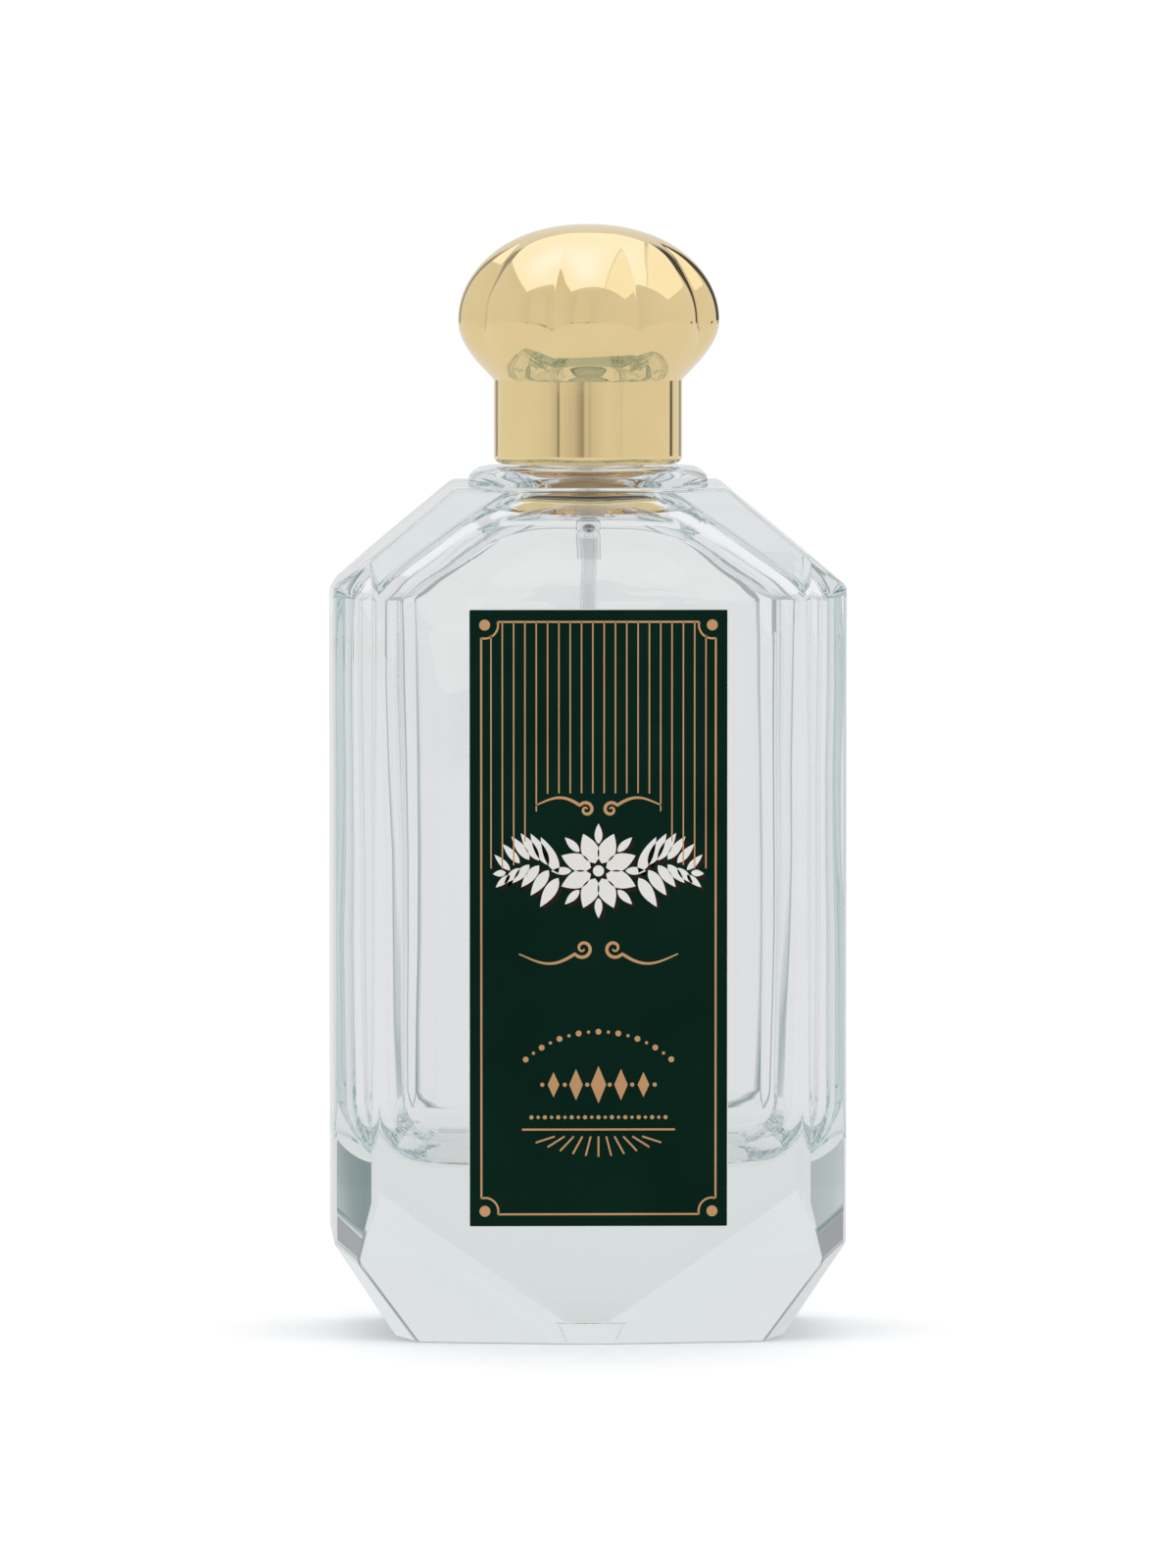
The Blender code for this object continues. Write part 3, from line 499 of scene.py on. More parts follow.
def facet_planes():
    """(point, outward normal) of every facet, for all four quarters of the body."""
    half_width, half_depth = BODY_HALF_WIDTH, BODY_HALF_DEPTH
    draft = math.radians(SIDE_DRAFT_DEG)
    shoulder = Vector((PLATEAU_Z - SHOULDER_Z, 0.0, half_width - SHOULDER_TOP_HALF))
    lower = Vector((LOWER_CUT_Z, 0.0, BASE_HALF_WIDTH - half_width))
    vee_tip = Vector((VEE_TIP_HALF, half_depth, 0.0))
    vee_arm = Vector((VEE_ARM[0], half_depth, VEE_ARM[1]))
    base_corner = Vector((BASE_CORNER[0], BASE_CORNER[1], 0.0))
    vee = (base_corner - vee_tip).cross(vee_arm - vee_tip)
    panel_side_y = half_depth - (half_width - FRONT_HALF_WIDTH)
    quarter = [
        (Vector((half_width, 0.0, 0.0)), Vector((math.cos(draft), math.sin(draft), 0.0))),
        (Vector((FRONT_HALF_WIDTH, half_depth, 0.0)), Vector((1.0, 1.0, 0.0))),
        (Vector((half_width, 0.0, SHOULDER_Z)), shoulder),
        (Vector((half_width, 0.0, LOWER_CUT_Z)), lower),
        (Vector((half_width - CORNER_FACET_INSET, panel_side_y + CORNER_FACET_INSET,
                 LOWER_CUT_Z - CORNER_FACET_INSET)), Vector(CORNER_FACET_NORMAL)),
        (vee_tip, vee if vee.y > 0.0 else -vee),
    ]
    planes = []
    for side_x in (-1.0, 1.0):
        for side_y in (-1.0, 1.0):
            flip = Vector((side_x, side_y, 1.0))
            planes.extend((point * flip, (normal * flip).normalized()) for point, normal in quarter)
    return planes


def faceted_block():
    """The body's flat facets, with a bevel weight on every edge that is to be rounded."""
    bm = bmesh.new()
    bmesh.ops.create_cube(bm, size=1.0)
    bmesh.ops.scale(bm, verts=bm.verts,
                    vec=(2.0 * BODY_HALF_WIDTH, 2.0 * BODY_HALF_DEPTH, PLATEAU_Z))
    bmesh.ops.translate(bm, verts=bm.verts, vec=(0.0, 0.0, PLATEAU_Z / 2.0))
    for point, normal in facet_planes():
        cut_plane(bm, point, normal)
    bmesh.ops.remove_doubles(bm, verts=bm.verts, dist=1e-3)
    bmesh.ops.dissolve_limit(bm, angle_limit=math.radians(0.5), verts=bm.verts, edges=bm.edges)
    bm.normal_update()
    softness = bm.edges.layers.float.new("bevel_weight_edge")
    for edge in bm.edges:
        if edge.calc_face_angle() <= math.radians(BEVEL_MIN_ANGLE_DEG):
            continue
        low = all(vert.co.z < VEE_ARM[1] + 3.0 for vert in edge.verts)
        radius = EDGE_RADIUS
        if any(face.normal.z < -0.99 for face in edge.link_faces):
            radius = BASE_RADIUS
        elif low and any(abs(face.normal.y) > 0.99 for face in edge.link_faces):
            radius = VEE_RADIUS
        edge[softness] = radius / VEE_RADIUS
    return bm


def neck_profile():
    """Neck with its crimp lip, and the round-shouldered ring on the plateau."""
    root_z = PLATEAU_Z - 2.0
    edge_z = PLATEAU_Z + RING_EDGE_RISE
    corners = [(0.0, MOUTH_Z, 0.0), (LIP_RADIUS, MOUTH_Z, 0.7), (LIP_RADIUS, LIP_UNDER_Z, 0.5),
               (NECK_RADIUS, LIP_UNDER_Z - 0.9, 0.6), (NECK_RADIUS, RING_TOP_Z, 0.5),
               (RING_FLAT_RADIUS, RING_TOP_Z, 0.0)]
    outline = filleted(corners, closed=False)[:-1]
    quarter_steps = 12
    for step in range(quarter_steps + 1):
        angle = math.radians(90.0 - 90.0 * step / quarter_steps)
        outline.append((RING_FLAT_RADIUS + (RING_RADIUS - RING_FLAT_RADIUS) * math.cos(angle),
                        edge_z + (RING_TOP_Z - edge_z) * math.sin(angle)))
    return outline + [(RING_RADIUS, root_z), (0.0, root_z)]


def cavity_stations():
    """(z, half width, half depth, boxiness) guides from the floor to above the mouth."""
    half_width, half_depth = BODY_HALF_WIDTH - WALL, BODY_HALF_DEPTH - WALL
    stations = []
    floor_steps = 12
    for step in range(floor_steps + 1):
        angle = math.radians(90.0 * step / floor_steps)
        inset = FLOOR_ROUND * (1.0 - math.sin(angle))
        stations.append((FLOOR_Z + FLOOR_ROUND * (1.0 - math.cos(angle)),
                         half_width - inset, half_depth - inset, CAVITY_BOXINESS))
    for rise, side_inset, front_inset, boxiness in CAVITY_SHOULDER:
        stations.append((CAVITY_SHOULDER_Z + rise, half_width - side_inset,
                         half_depth - front_inset, boxiness))
    for z, radius in ((NECK_BLEND_Z[0], NECK_BORE_RADIUS + 0.5), (NECK_BLEND_Z[1], NECK_BORE_RADIUS),
                      (MOUTH_Z + 2.0, NECK_BORE_RADIUS)):
        stations.append((z, radius, radius, 2.0))
    return stations


def through_stations(stations, steps):
    """Monotone cubic curve through the stations, so that the wall is smooth and never bulges."""
    count = len(stations)
    slopes = []
    for index in range(count):
        slope = []
        for column in range(1, 4):
            sides = []
            for low, high in ((index - 1, index), (index, index + 1)):
                if low >= 0 and high < count:
                    rise = stations[high][0] - stations[low][0]
                    sides.append((stations[high][column] - stations[low][column]) / rise)
            if len(sides) == 1:
                slope.append(sides[0])
            elif sides[0] * sides[1] <= 0.0:
                slope.append(0.0)
            else:
                slope.append(2.0 * sides[0] * sides[1] / (sides[0] + sides[1]))
        slopes.append(slope)
    rows = []
    for index in range(count - 1):
        here, there = stations[index], stations[index + 1]
        rise = there[0] - here[0]
        pieces = steps if rise > 0.5 else 1
        for step in range(pieces):
            t = step / pieces
            row = [here[0] + rise * t]
            for column in range(1, 4):
                a, b = here[column], there[column]
                m, n = slopes[index][column - 1] * rise, slopes[index + 1][column - 1] * rise
                row.append((2*t**3 - 3*t**2 + 1) * a + (t**3 - 2*t**2 + t) * m
                           + (3*t**2 - 2*t**3) * b + (t**3 - t**2) * n)
            rows.append(row)
    rows.append(list(stations[-1]))
    return rows


def wall_ripple(angle, z):
    """Uneven wall thickness of moulded glass, in millimetres, fading out into the neck."""
    fade = 1.0 - smoothstep((z - 97.0) / 8.0)
    ripple = (0.13 * math.sin(3.0 * angle + 0.6 + 0.03 * z)
              + 0.09 * math.sin(5.0 * angle + 1.9 - 0.06 * z)
              + 0.10 * math.sin(0.17 * z + 2.0 * angle)
              + 0.05 * math.sin(0.41 * z - 4.0 * angle))
    return fade * ripple


def cavity_block():
    bm = bmesh.new()
    rings = []
    for z, half_width, half_depth, boxiness in through_stations(cavity_stations(), 6):
        power = 2.0 / boxiness
        ring = []
        for index in range(CAVITY_POINTS):
            angle = FULL_TURN * (index + 0.5) / CAVITY_POINTS
            cosine, sine = math.cos(angle), math.sin(angle)
            swell = wall_ripple(angle, z)
            x = (half_width + swell) * math.copysign(abs(cosine) ** power, cosine)
            y = (half_depth + swell) * math.copysign(abs(sine) ** power, sine)
            ring.append(bm.verts.new((x, y, z)))
        rings.append(ring)
    skin_rings(bm, rings, cap_ends=True)
    return bm


def build_glass():
    glass = MATERIALS["clear_glass"]
    bottle = finish_mesh(faceted_block(), "glass_body", [glass])
    bevel = bottle.modifiers.new("rounded_edges", "BEVEL")
    bevel.width = VEE_RADIUS * MM
    bevel.segments = 6
    bevel.limit_method = "WEIGHT"
    neck = finish_mesh(spin_profile(neck_profile(), False), "neck_guide", [glass])
    cavity = finish_mesh(cavity_block(), "cavity_guide", [glass])
    boolean(bottle, neck, "UNION")
    boolean(bottle, cavity, "DIFFERENCE")
    apply_modifiers(bottle, (neck, cavity))
    bottle.data.shade_smooth()
    bottle.data.set_sharp_from_angle(angle=math.radians(SHARP_DEG))
    weighted = bottle.modifiers.new("flat_faces_stay_flat", "WEIGHTED_NORMAL")
    weighted.keep_sharp = True
    weighted.weight = 80
    add_piece(bottle, "bottle", "clear_glass", "glass_bottle")


# ---------------------------------------------------------------- label

LABEL_FOIL = 0.025              # height of the print above the label's film
PALE_EDGE = 0.12                # paper core left bare round the green face
LABEL_CENTRE = (LABEL_X[0] + LABEL_X[1]) / 2.0
LABEL_TOP = LABEL_Z[1] - PALE_EDGE
FACE_HALF_WIDTH = (LABEL_X[1] - LABEL_X[0]) / 2.0 - PALE_EDGE
FACE_HEIGHT = LABEL_Z[1] - LABEL_Z[0] - 2.0 * PALE_EDGE
BORDER_INSET = (1.41, 1.46)
BORDER_WIDTH = 0.24
DOT_INSET = 1.84
DOT_RADIUS = 0.67
CORNER_RADIUS = 1.64
STRIPES = 20
STRIPE_PITCH = 1.381
STRIPE_WIDTH = 0.17
EMBLEM_Z = 31.9
STRIPE_SHORT, STRIPE_LONG = 22.4, 31.6      # lengths measured from the face's top edge


def plate(bm, outline, depth=LABEL_FOIL, lift=0.0):
    """Flat closed plate from an (x, z) outline about the label's top centre, z downwards."""
    back_y = LABEL_FRONT_Y + LABEL_FOIL - lift
    rings = []
    for y in (back_y, back_y - depth):
        rings.append([bm.verts.new((LABEL_CENTRE + x, y, LABEL_TOP - z)) for x, z in outline])
    skin_rings(bm, rings, cap_ends=True)


def ribbon(bm, points, widths):
    """Plate that follows a line of points; widths is one width or one for each point."""
    if not hasattr(widths, "__len__"):
        widths = [widths] * len(points)
    left, right = [], []
    for index, (x, z) in enumerate(points):
        before = Vector(points[max(index - 1, 0)])
        after = Vector(points[min(index + 1, len(points) - 1)])
        along = (after - before).normalized()
        side = Vector((-along.y, along.x)) * widths[index] / 2.0
        left.append((x + side.x, z + side.y))
        right.append((x - side.x, z - side.y))
    plate(bm, left + right[::-1])


def disc_outline(x, z, radius_x, radius_z=None, count=24):
    radius_z = radius_x if radius_z is None else radius_z
    angles = [FULL_TURN * index / count for index in range(count)]
    return [(x + radius_x * math.cos(angle), z + radius_z * math.sin(angle)) for angle in angles]


def leaf_outline(x, z, length, width, turn):
    """Pointed leaf with its stalk at (x, z), pointing along turn."""
    upper, lower = [], []
    steps = 10
    for step in range(steps + 1):
        t = step / steps
        half = width / 2.0 * math.sin(math.pi * t ** 0.8) ** 0.9 if 0 < step < steps else 0.0
        upper.append((length * t, half))
        lower.append((length * t, -half))
    outline = upper + lower[-2:0:-1]
    cosine, sine = math.cos(turn), math.sin(turn)
    return [(x + a * cosine - b * sine, z + a * sine + b * cosine) for a, b in outline]


def mirrored(outline):
    return [(-x, z) for x, z in outline[::-1]]


def rounded_rectangle(half_width, top, bottom, corner):
    outline = []
    for centre_x, centre_z, start in ((half_width - corner, bottom - corner, 0.0),
                                      (corner - half_width, bottom - corner, 90.0),
                                      (corner - half_width, top + corner, 180.0),
                                      (half_width - corner, top + corner, 270.0)):
        for step in range(5):
            angle = math.radians(start + 90.0 * step / 4)
            outline.append((centre_x + corner * math.cos(angle), centre_z + corner * math.sin(angle)))
    return outline


def build_film():
    """Paper core with the green face on it."""
    depth = LABEL_BACK_Y - LABEL_FRONT_Y - LABEL_FOIL
    skin = 0.02
    core = bmesh.new()
    outline = rounded_rectangle(FACE_HALF_WIDTH + PALE_EDGE, -PALE_EDGE, FACE_HEIGHT + PALE_EDGE, 0.25)
    plate(core, outline, depth=depth - skin, lift=-depth)
    shape_piece(core, "label_core", "label_core", "bottle", "printed_label", "front_label")
    face = bmesh.new()
    plate(face, rounded_rectangle(FACE_HALF_WIDTH, 0.0, FACE_HEIGHT, 0.15), depth=skin, lift=-skin)
    shape_piece(face, "label_face", "label_green", "bottle", "printed_label")


def add_frame_lines(bm):
    """Border with concave corners, and the four corner dots."""
    side_x = FACE_HALF_WIDTH - BORDER_INSET[0]
    dot_x = FACE_HALF_WIDTH - DOT_INSET
    drop_side = math.sqrt(CORNER_RADIUS ** 2 - (side_x - dot_x) ** 2)
    top_gap = DOT_INSET - BORDER_INSET[1]
    reach_top = math.sqrt(CORNER_RADIUS ** 2 - top_gap ** 2)
    for flip in (-1.0, 1.0):
        ribbon(bm, [(flip * side_x, DOT_INSET + drop_side),
                    (flip * side_x, FACE_HEIGHT - DOT_INSET - drop_side)], BORDER_WIDTH)
    for z, inward in ((BORDER_INSET[1], 1.0), (FACE_HEIGHT - BORDER_INSET[1], -1.0)):
        ribbon(bm, [(-dot_x + reach_top, z), (dot_x - reach_top, z)], BORDER_WIDTH)
        dot_z = z + inward * top_gap
        for flip in (-1.0, 1.0):
            plate(bm, disc_outline(flip * dot_x, dot_z, DOT_RADIUS))
            start = math.atan2(-top_gap, -reach_top)
            end = math.atan2(drop_side, side_x - dot_x) - FULL_TURN
            arc_points = []
            for step in range(13):
                angle = start + (end - start) * step / 12
                arc_points.append((flip * (dot_x + CORNER_RADIUS * math.cos(angle)),
                                   dot_z + inward * CORNER_RADIUS * math.sin(angle)))
            ribbon(bm, arc_points, BORDER_WIDTH)


def add_stripes(bm):
    for index in range(STRIPES):
        x = (index - (STRIPES - 1) / 2.0) * STRIPE_PITCH
        length = STRIPE_SHORT + (STRIPE_LONG - STRIPE_SHORT) * smoothstep((abs(x) - 6.0) / 5.0)
        top = BORDER_INSET[1]
        if index in (0, STRIPES - 1):
            top = DOT_INSET + CORNER_RADIUS * 0.75
        ribbon(bm, [(x, top), (x, length)], STRIPE_WIDTH)


def scroll(x, z, turns, radius, start):
    """Spiral that opens outwards from (x, z)."""
    points = []
    steps = 40
    for step in range(steps + 1):
        t = step / steps
        angle = start + FULL_TURN * turns * t
        reach = radius * (0.12 + 0.88 * t)
        points.append((x + reach * math.cos(angle), z + reach * math.sin(angle)))
    return points


def add_scrolls(bm, z, size, flip_z):
    """A pair of mirrored spirals with a long tapering tail each."""
    curl = scroll(2.0 * size, z, 1.35, 1.25 * size, math.radians(200.0))
    last = Vector(curl[-1])
    tail = []
    for step in range(1, 25):
        t = step / 24
        sag = 1.5 * size * math.sin(math.pi * t) * (1.0 - 0.35 * t)
        tail.append((last.x + 7.2 * size * t, last.y - sag))
    points = [(x, z + flip_z * (pz - z)) for x, pz in curl + tail]
    count = len(points)
    widths = [0.16 + 0.24 * math.sin(math.pi * index / (count - 1)) for index in range(count)]
    ribbon(bm, points, widths)
    ribbon(bm, [(-x, pz) for x, pz in points], widths)


def add_lower_group(bm):
    """Beads on an arc, a lozenge row, a bead row, a rule and a fan of rays."""
    arc_top, arc_half, arc_drop = 51.6, 8.9, 3.4
    arc_radius = (arc_half ** 2 + arc_drop ** 2) / (2.0 * arc_drop)
    beads = 17
    for index in range(beads):
        angle = (index / (beads - 1) - 0.5) * 2.0 * math.asin(arc_half / arc_radius)
        x = arc_radius * math.sin(angle)
        z = arc_top + arc_radius * (1.0 - math.cos(angle))
        plate(bm, disc_outline(x, z, 0.36 if index % 2 == 0 else 0.2, count=16))
    row_z, pitch = 58.1, 2.75
    for index in range(-2, 3):
        height = 2.3 - 0.38 * abs(index)
        plate(bm, disc_outline(index * pitch, row_z, 0.95 - 0.12 * abs(index), height, count=4))
    for sign in (-1, 1):
        for step in range(3):
            plate(bm, disc_outline(sign * pitch * (step + 0.5), row_z, 0.26, count=12))
    bead_z = 62.1
    for index in range(-10, 11):
        plate(bm, disc_outline(index * 0.82, bead_z, 0.26, count=4 if index % 2 else 12))
    rule_z = 63.6
    ribbon(bm, [(-9.35, rule_z), (9.35, rule_z)], 0.24)
    for index in range(-5, 6):
        angle = math.radians(abs(index) * 14.4)
        start_x = abs(index) * (0.92 + 0.03 * abs(index))
        length = 2.45 if index else 2.5
        sign = 1.0 if index >= 0 else -1.0
        start = (sign * start_x, rule_z + 0.85)
        end = (start[0] + sign * length * math.sin(angle), start[1] + length * math.cos(angle))
        ribbon(bm, [start, end], 0.22)


def spray_point(t):
    """Point of a leaf spray's stem, t from 0 at the rosette to 1 at its tip."""
    return 4.9 + 5.9 * t, EMBLEM_Z + 1.3 - 2.4 * math.sin(math.pi * (0.1 + 0.75 * t))


def emblem_outlines():
    """Double rosette between two leaf sprays: a plain floral ornament."""
    outlines = []
    petals = 8
    for index in range(petals):
        turn = FULL_TURN * (index + 0.5) / petals
        between = turn + math.pi / petals
        for angle, start, length, width in ((turn, 1.0, 3.9, 2.15), (between, 3.3, 2.5, 0.95)):
            outlines.append(leaf_outline(start * math.cos(angle), EMBLEM_Z + start * math.sin(angle),
                                         length, width, angle))
    outlines.append(disc_outline(0.0, EMBLEM_Z, 0.68))
    leaves = 6
    for step in range(leaves):
        t = step / (leaves - 1)
        x, z = spray_point(t)
        size = 1.0 - 0.45 * t
        for lean, reach in ((-64.0, 4.9), (58.0, 4.2)):
            turn = math.radians(lean * (1.0 - 0.3 * t))
            leaf = leaf_outline(x, z + math.copysign(0.3, lean), reach * size, 1.5 * size, turn)
            outlines.extend((leaf, mirrored(leaf)))
    tip = leaf_outline(spray_point(1.0)[0] + 0.5, spray_point(1.0)[1], 1.6, 0.8, 0.1)
    outlines.extend((tip, mirrored(tip)))
    return outlines


def build_print():
    tan = bmesh.new()
    add_frame_lines(tan)
    add_stripes(tan)
    add_scrolls(tan, 24.4, 0.75, 1.0)
    add_scrolls(tan, 41.4, 0.95, -1.0)
    add_lower_group(tan)
    shape_piece(tan, "label_tan_print", "tan_print", "bottle", "printed_label")
    shadow = bmesh.new()
    cream = bmesh.new()
    shift = 0.42
    for outline in emblem_outlines():
        plate(shadow, [(x + shift, z + shift) for x, z in outline], depth=LABEL_FOIL * 0.4)
        plate(cream, outline, depth=LABEL_FOIL * 0.5, lift=LABEL_FOIL * 0.45)
    shape_piece(shadow, "label_emblem_shadow", "umber_print", "bottle", "printed_label")
    shape_piece(cream, "label_emblem", "cream_print", "bottle", "printed_label")


# ---------------------------------------------------------------- overcap

def dome_profile():
    """Outer (radius, z) from just below the apex down to the bottom rim."""
    crown_steps, under_steps, rim_steps = 40, 20, 8
    bottom, apex = CAP_Z
    profile = []
    for step in range(1, crown_steps + 1):
        angle = math.radians(90.0 * step / crown_steps)
        profile.append((DOME_RADIUS * math.sin(angle) ** CROWN_FULLNESS,
                        WIDEST_Z + (apex - WIDEST_Z) * math.cos(angle)))
    drop = WIDEST_Z - CREASE_Z
    pull = DOME_RADIUS - SKIRT_RADIUS - 0.15
    for step in range(1, under_steps + 1):
        part = step / under_steps
        radius = DOME_RADIUS - pull * (1.0 - math.cos(part * math.pi / 2.0))
        profile.append((radius, WIDEST_Z - drop * part))
    for z in (CREASE_Z - 0.2, CREASE_Z - 1.2, bottom + CAP_RIM + 0.2):
        profile.append((SKIRT_RADIUS, z))
    for step in range(rim_steps + 1):
        angle = math.radians(-90.0 * step / rim_steps)
        profile.append((SKIRT_RADIUS - CAP_RIM + CAP_RIM * math.cos(angle),
                        bottom + CAP_RIM + CAP_RIM * math.sin(angle)))
    return profile


def groove_strength(z):
    crown = smoothstep((CAP_Z[1] - 0.4 - z) / 6.5)
    under = smoothstep((z - CREASE_Z - 2.0) / 5.5)
    return crown * under


def lobed_ring(bm, radius, z):
    count = LOBES * LOBE_POINTS
    ring = []
    for index in range(count):
        share = index / LOBE_POINTS
        turn = FULL_TURN * (share - 0.08 * math.sin(FULL_TURN * share)) / LOBES
        crest = (math.sin(turn * LOBES / 2.0) ** 2 + GROOVE_SHARPNESS) ** (LOBE_CREST / 2.0)
        local = radius - LOBE_DEPTH * groove_strength(z) * (1.0 - min(crest, 1.0))
        angle = turn + math.radians(LOBE_TURN_DEG - 90.0)
        ring.append(bm.verts.new((local * math.cos(angle), local * math.sin(angle), z)))
    return ring


def build_overcap():
    bottom, apex = CAP_Z
    bore = [(CAP_MOUTH_RADIUS + 0.2, bottom), (CAP_MOUTH_RADIUS, bottom + 0.2),
            (CAP_MOUTH_RADIUS, CAP_SEAT_Z), (CAP_BORE_RADIUS, CAP_SEAT_Z),
            (CAP_BORE_RADIUS, CAP_BORE_TOP_Z - 1.0), (CAP_BORE_RADIUS - 1.0, CAP_BORE_TOP_Z)]
    bm = bmesh.new()
    rings = [lobed_ring(bm, radius, z) for radius, z in dome_profile() + bore]
    skin_rings(bm, rings, cap_ends=False)
    crown = bm.verts.new((0.0, 0.0, apex))
    first = rings[0]
    for index, vert in enumerate(first):
        bm.faces.new((crown, vert, first[(index + 1) % len(first)]))
    bm.faces.new(rings[-1])
    shape_piece(bm, "overcap_gold", "polished_gold", "overcap", "polished_gold", "overcap_shell",
                sharp_deg=32.0)


def build_liner():
    """Ribbed plastic insert with a lead-in chamfer and a rolled upper edge."""
    low, high = LINER_Z
    inner, rib_inner = 9.6, 9.3
    ribs, per_rib = 6, 30
    segments = ribs * per_rib
    levels = ((LINER_RADIUS - 0.15, True, low), (LINER_RADIUS, True, low + 0.15),
              (LINER_RADIUS, True, high - 0.15), (LINER_RADIUS - 0.15, True, high),
              (0.15, False, high), (0.0, False, high - 0.15), (0.0, False, low + 1.0),
              (0.25, False, low))
    bm = bmesh.new()
    rings = []
    for value, outside, z in levels:
        ring = []
        for index in range(segments):
            turn = FULL_TURN * index / segments
            from_rib = abs((index + per_rib / 2.0) % per_rib - per_rib / 2.0)
            swell = smoothstep(2.2 - from_rib) if z > low + 0.5 else 0.0
            radius = value if outside else inner + value - (inner - rib_inner) * swell
            ring.append(bm.verts.new((radius * math.cos(turn), radius * math.sin(turn), z)))
        rings.append(ring)
    skin_rings(bm, rings + rings[:1], cap_ends=False)
    shape_piece(bm, "overcap_insert", "white_plastic", "overcap", "white_plastic", "overcap_liner")


# ---------------------------------------------------------------- neck and pump

def turned_piece(name, corners, material, body, slot, node, closed=True):
    """Piece turned about Z from its (r, z, fillet radius) corners."""
    bm = spin_profile(filleted(corners, closed), closed)
    return shape_piece(bm, name, material, body, slot, node)


def build_collar():
    low, high = COLLAR_Z
    wall = 0.5
    hole = 4.8
    turned_piece("collar_gold", [
        (COLLAR_RADIUS - wall, low, 0.12), (COLLAR_RADIUS, low, 0.2), (COLLAR_RADIUS, high, 0.5),
        (hole, high, 0.12), (hole, high - wall, 0.05), (COLLAR_RADIUS - wall, high - wall, 0.3),
    ], "polished_gold", "bottle", "polished_gold", "neck_collar")


def build_ferrule():
    """Drawn cup with its edge crimped in under the glass lip and a tower round the turret."""
    low, high = FERRULE_Z
    wall, crimp, tower = 0.4, 6.9, 4.5
    stem_hole = STEM_RADIUS + 0.4
    plate_z = COLLAR_Z[1] - 0.5 - 0.3
    turned_piece("ferrule_cup", [
        (crimp, low, 0.1), (FERRULE_RADIUS - 0.2, low, 0.35), (FERRULE_RADIUS, low + 0.5, 0.3),
        (FERRULE_RADIUS, plate_z, 0.45), (tower, plate_z, 0.25), (tower, high, 0.4),
        (stem_hole, high, 0.1), (stem_hole, high - wall, 0.05), (tower - wall + 0.05, high - wall, 0.2),
        (tower - wall + 0.05, plate_z - wall, 0.2), (FERRULE_RADIUS - wall, plate_z - wall, 0.3),
        (FERRULE_RADIUS - wall, low + wall, 0.25), (crimp, low + wall, 0.1),
    ], "gold_aluminium", "bottle", "gold_aluminium", "crimp_ferrule")


def build_housing():
    """Translucent pump body: flange, chamber, spring well, ball seat and stepped tube socket."""
    low, high = HOUSING_Z
    chamber, outside, floor = 3.1, 4.2, 103.7
    well_bore, well, well_top = 2.4, 3.0, 106.8
    flange = high - 0.8
    seat, socket, orifice = 100.0, 1.02, 0.5
    tail, tail_top = 1.45, 102.8
    turned_piece("pump_body", [
        (chamber, high, 0.1), (FLANGE_RADIUS, high, 0.15), (FLANGE_RADIUS, flange, 0.15),
        (outside, flange, 0.2), (outside, well_top, 0.4), (well, well_top - 1.0, 0.4),
        (well, floor, 0.5), (well - 0.6, floor - 0.6, 0.4), (tail, tail_top, 0.25),
        (tail, low + 5.0, 0.0), (tail - 0.12, low + 4.8, 0.0), (tail - 0.12, low + 4.4, 0.0),
        (tail, low + 4.2, 0.0), (tail, low, 0.2), (socket + 0.06, low, 0.1), (socket, low + 0.3, 0.0),
        (socket, seat - 0.3, 0.0), (orifice, seat - 0.3, 0.05), (orifice, seat + orifice, 0.0),
        (1.0, seat + 1.0, 0.0), (1.0, floor, 0.2), (well_bore, floor, 0.3), (well_bore, well_top, 0.1),
        (chamber, well_top, 0.15),
    ], "milky_plastic_painted_glow", "bottle", "natural_plastic", "pump_housing")


def build_stem():
    low, high = STEM_Z
    bore = 0.95
    flange_top = low + 0.8
    turned_piece("stem_tube", [
        (bore, low, 0.05), (STEM_RADIUS - 0.3, low, 0.05), (STEM_RADIUS - 0.3, low + 0.2, 0.0),
        (2.4, low + 0.2, 0.1), (2.4, flange_top, 0.1), (STEM_RADIUS, flange_top, 0.1),
        (STEM_RADIUS, high, 0.35), (bore, high, 0.1),
    ], "white_plastic", "stem", "white_plastic", "pump_stem")


def radial_cutter(name, radius, near, far):
    """Round cutter that points out of the spray head at the nozzle's height."""
    bm = bmesh.new()
    rings = []
    for distance in (near, far):
        rings.append(ring_at(bm, 48, lambda x, z: (radius * x, -distance, NOZZLE_Z + radius * z)))
    skin_rings(bm, rings, cap_ends=True)
    return finish_mesh(bm, name, [])


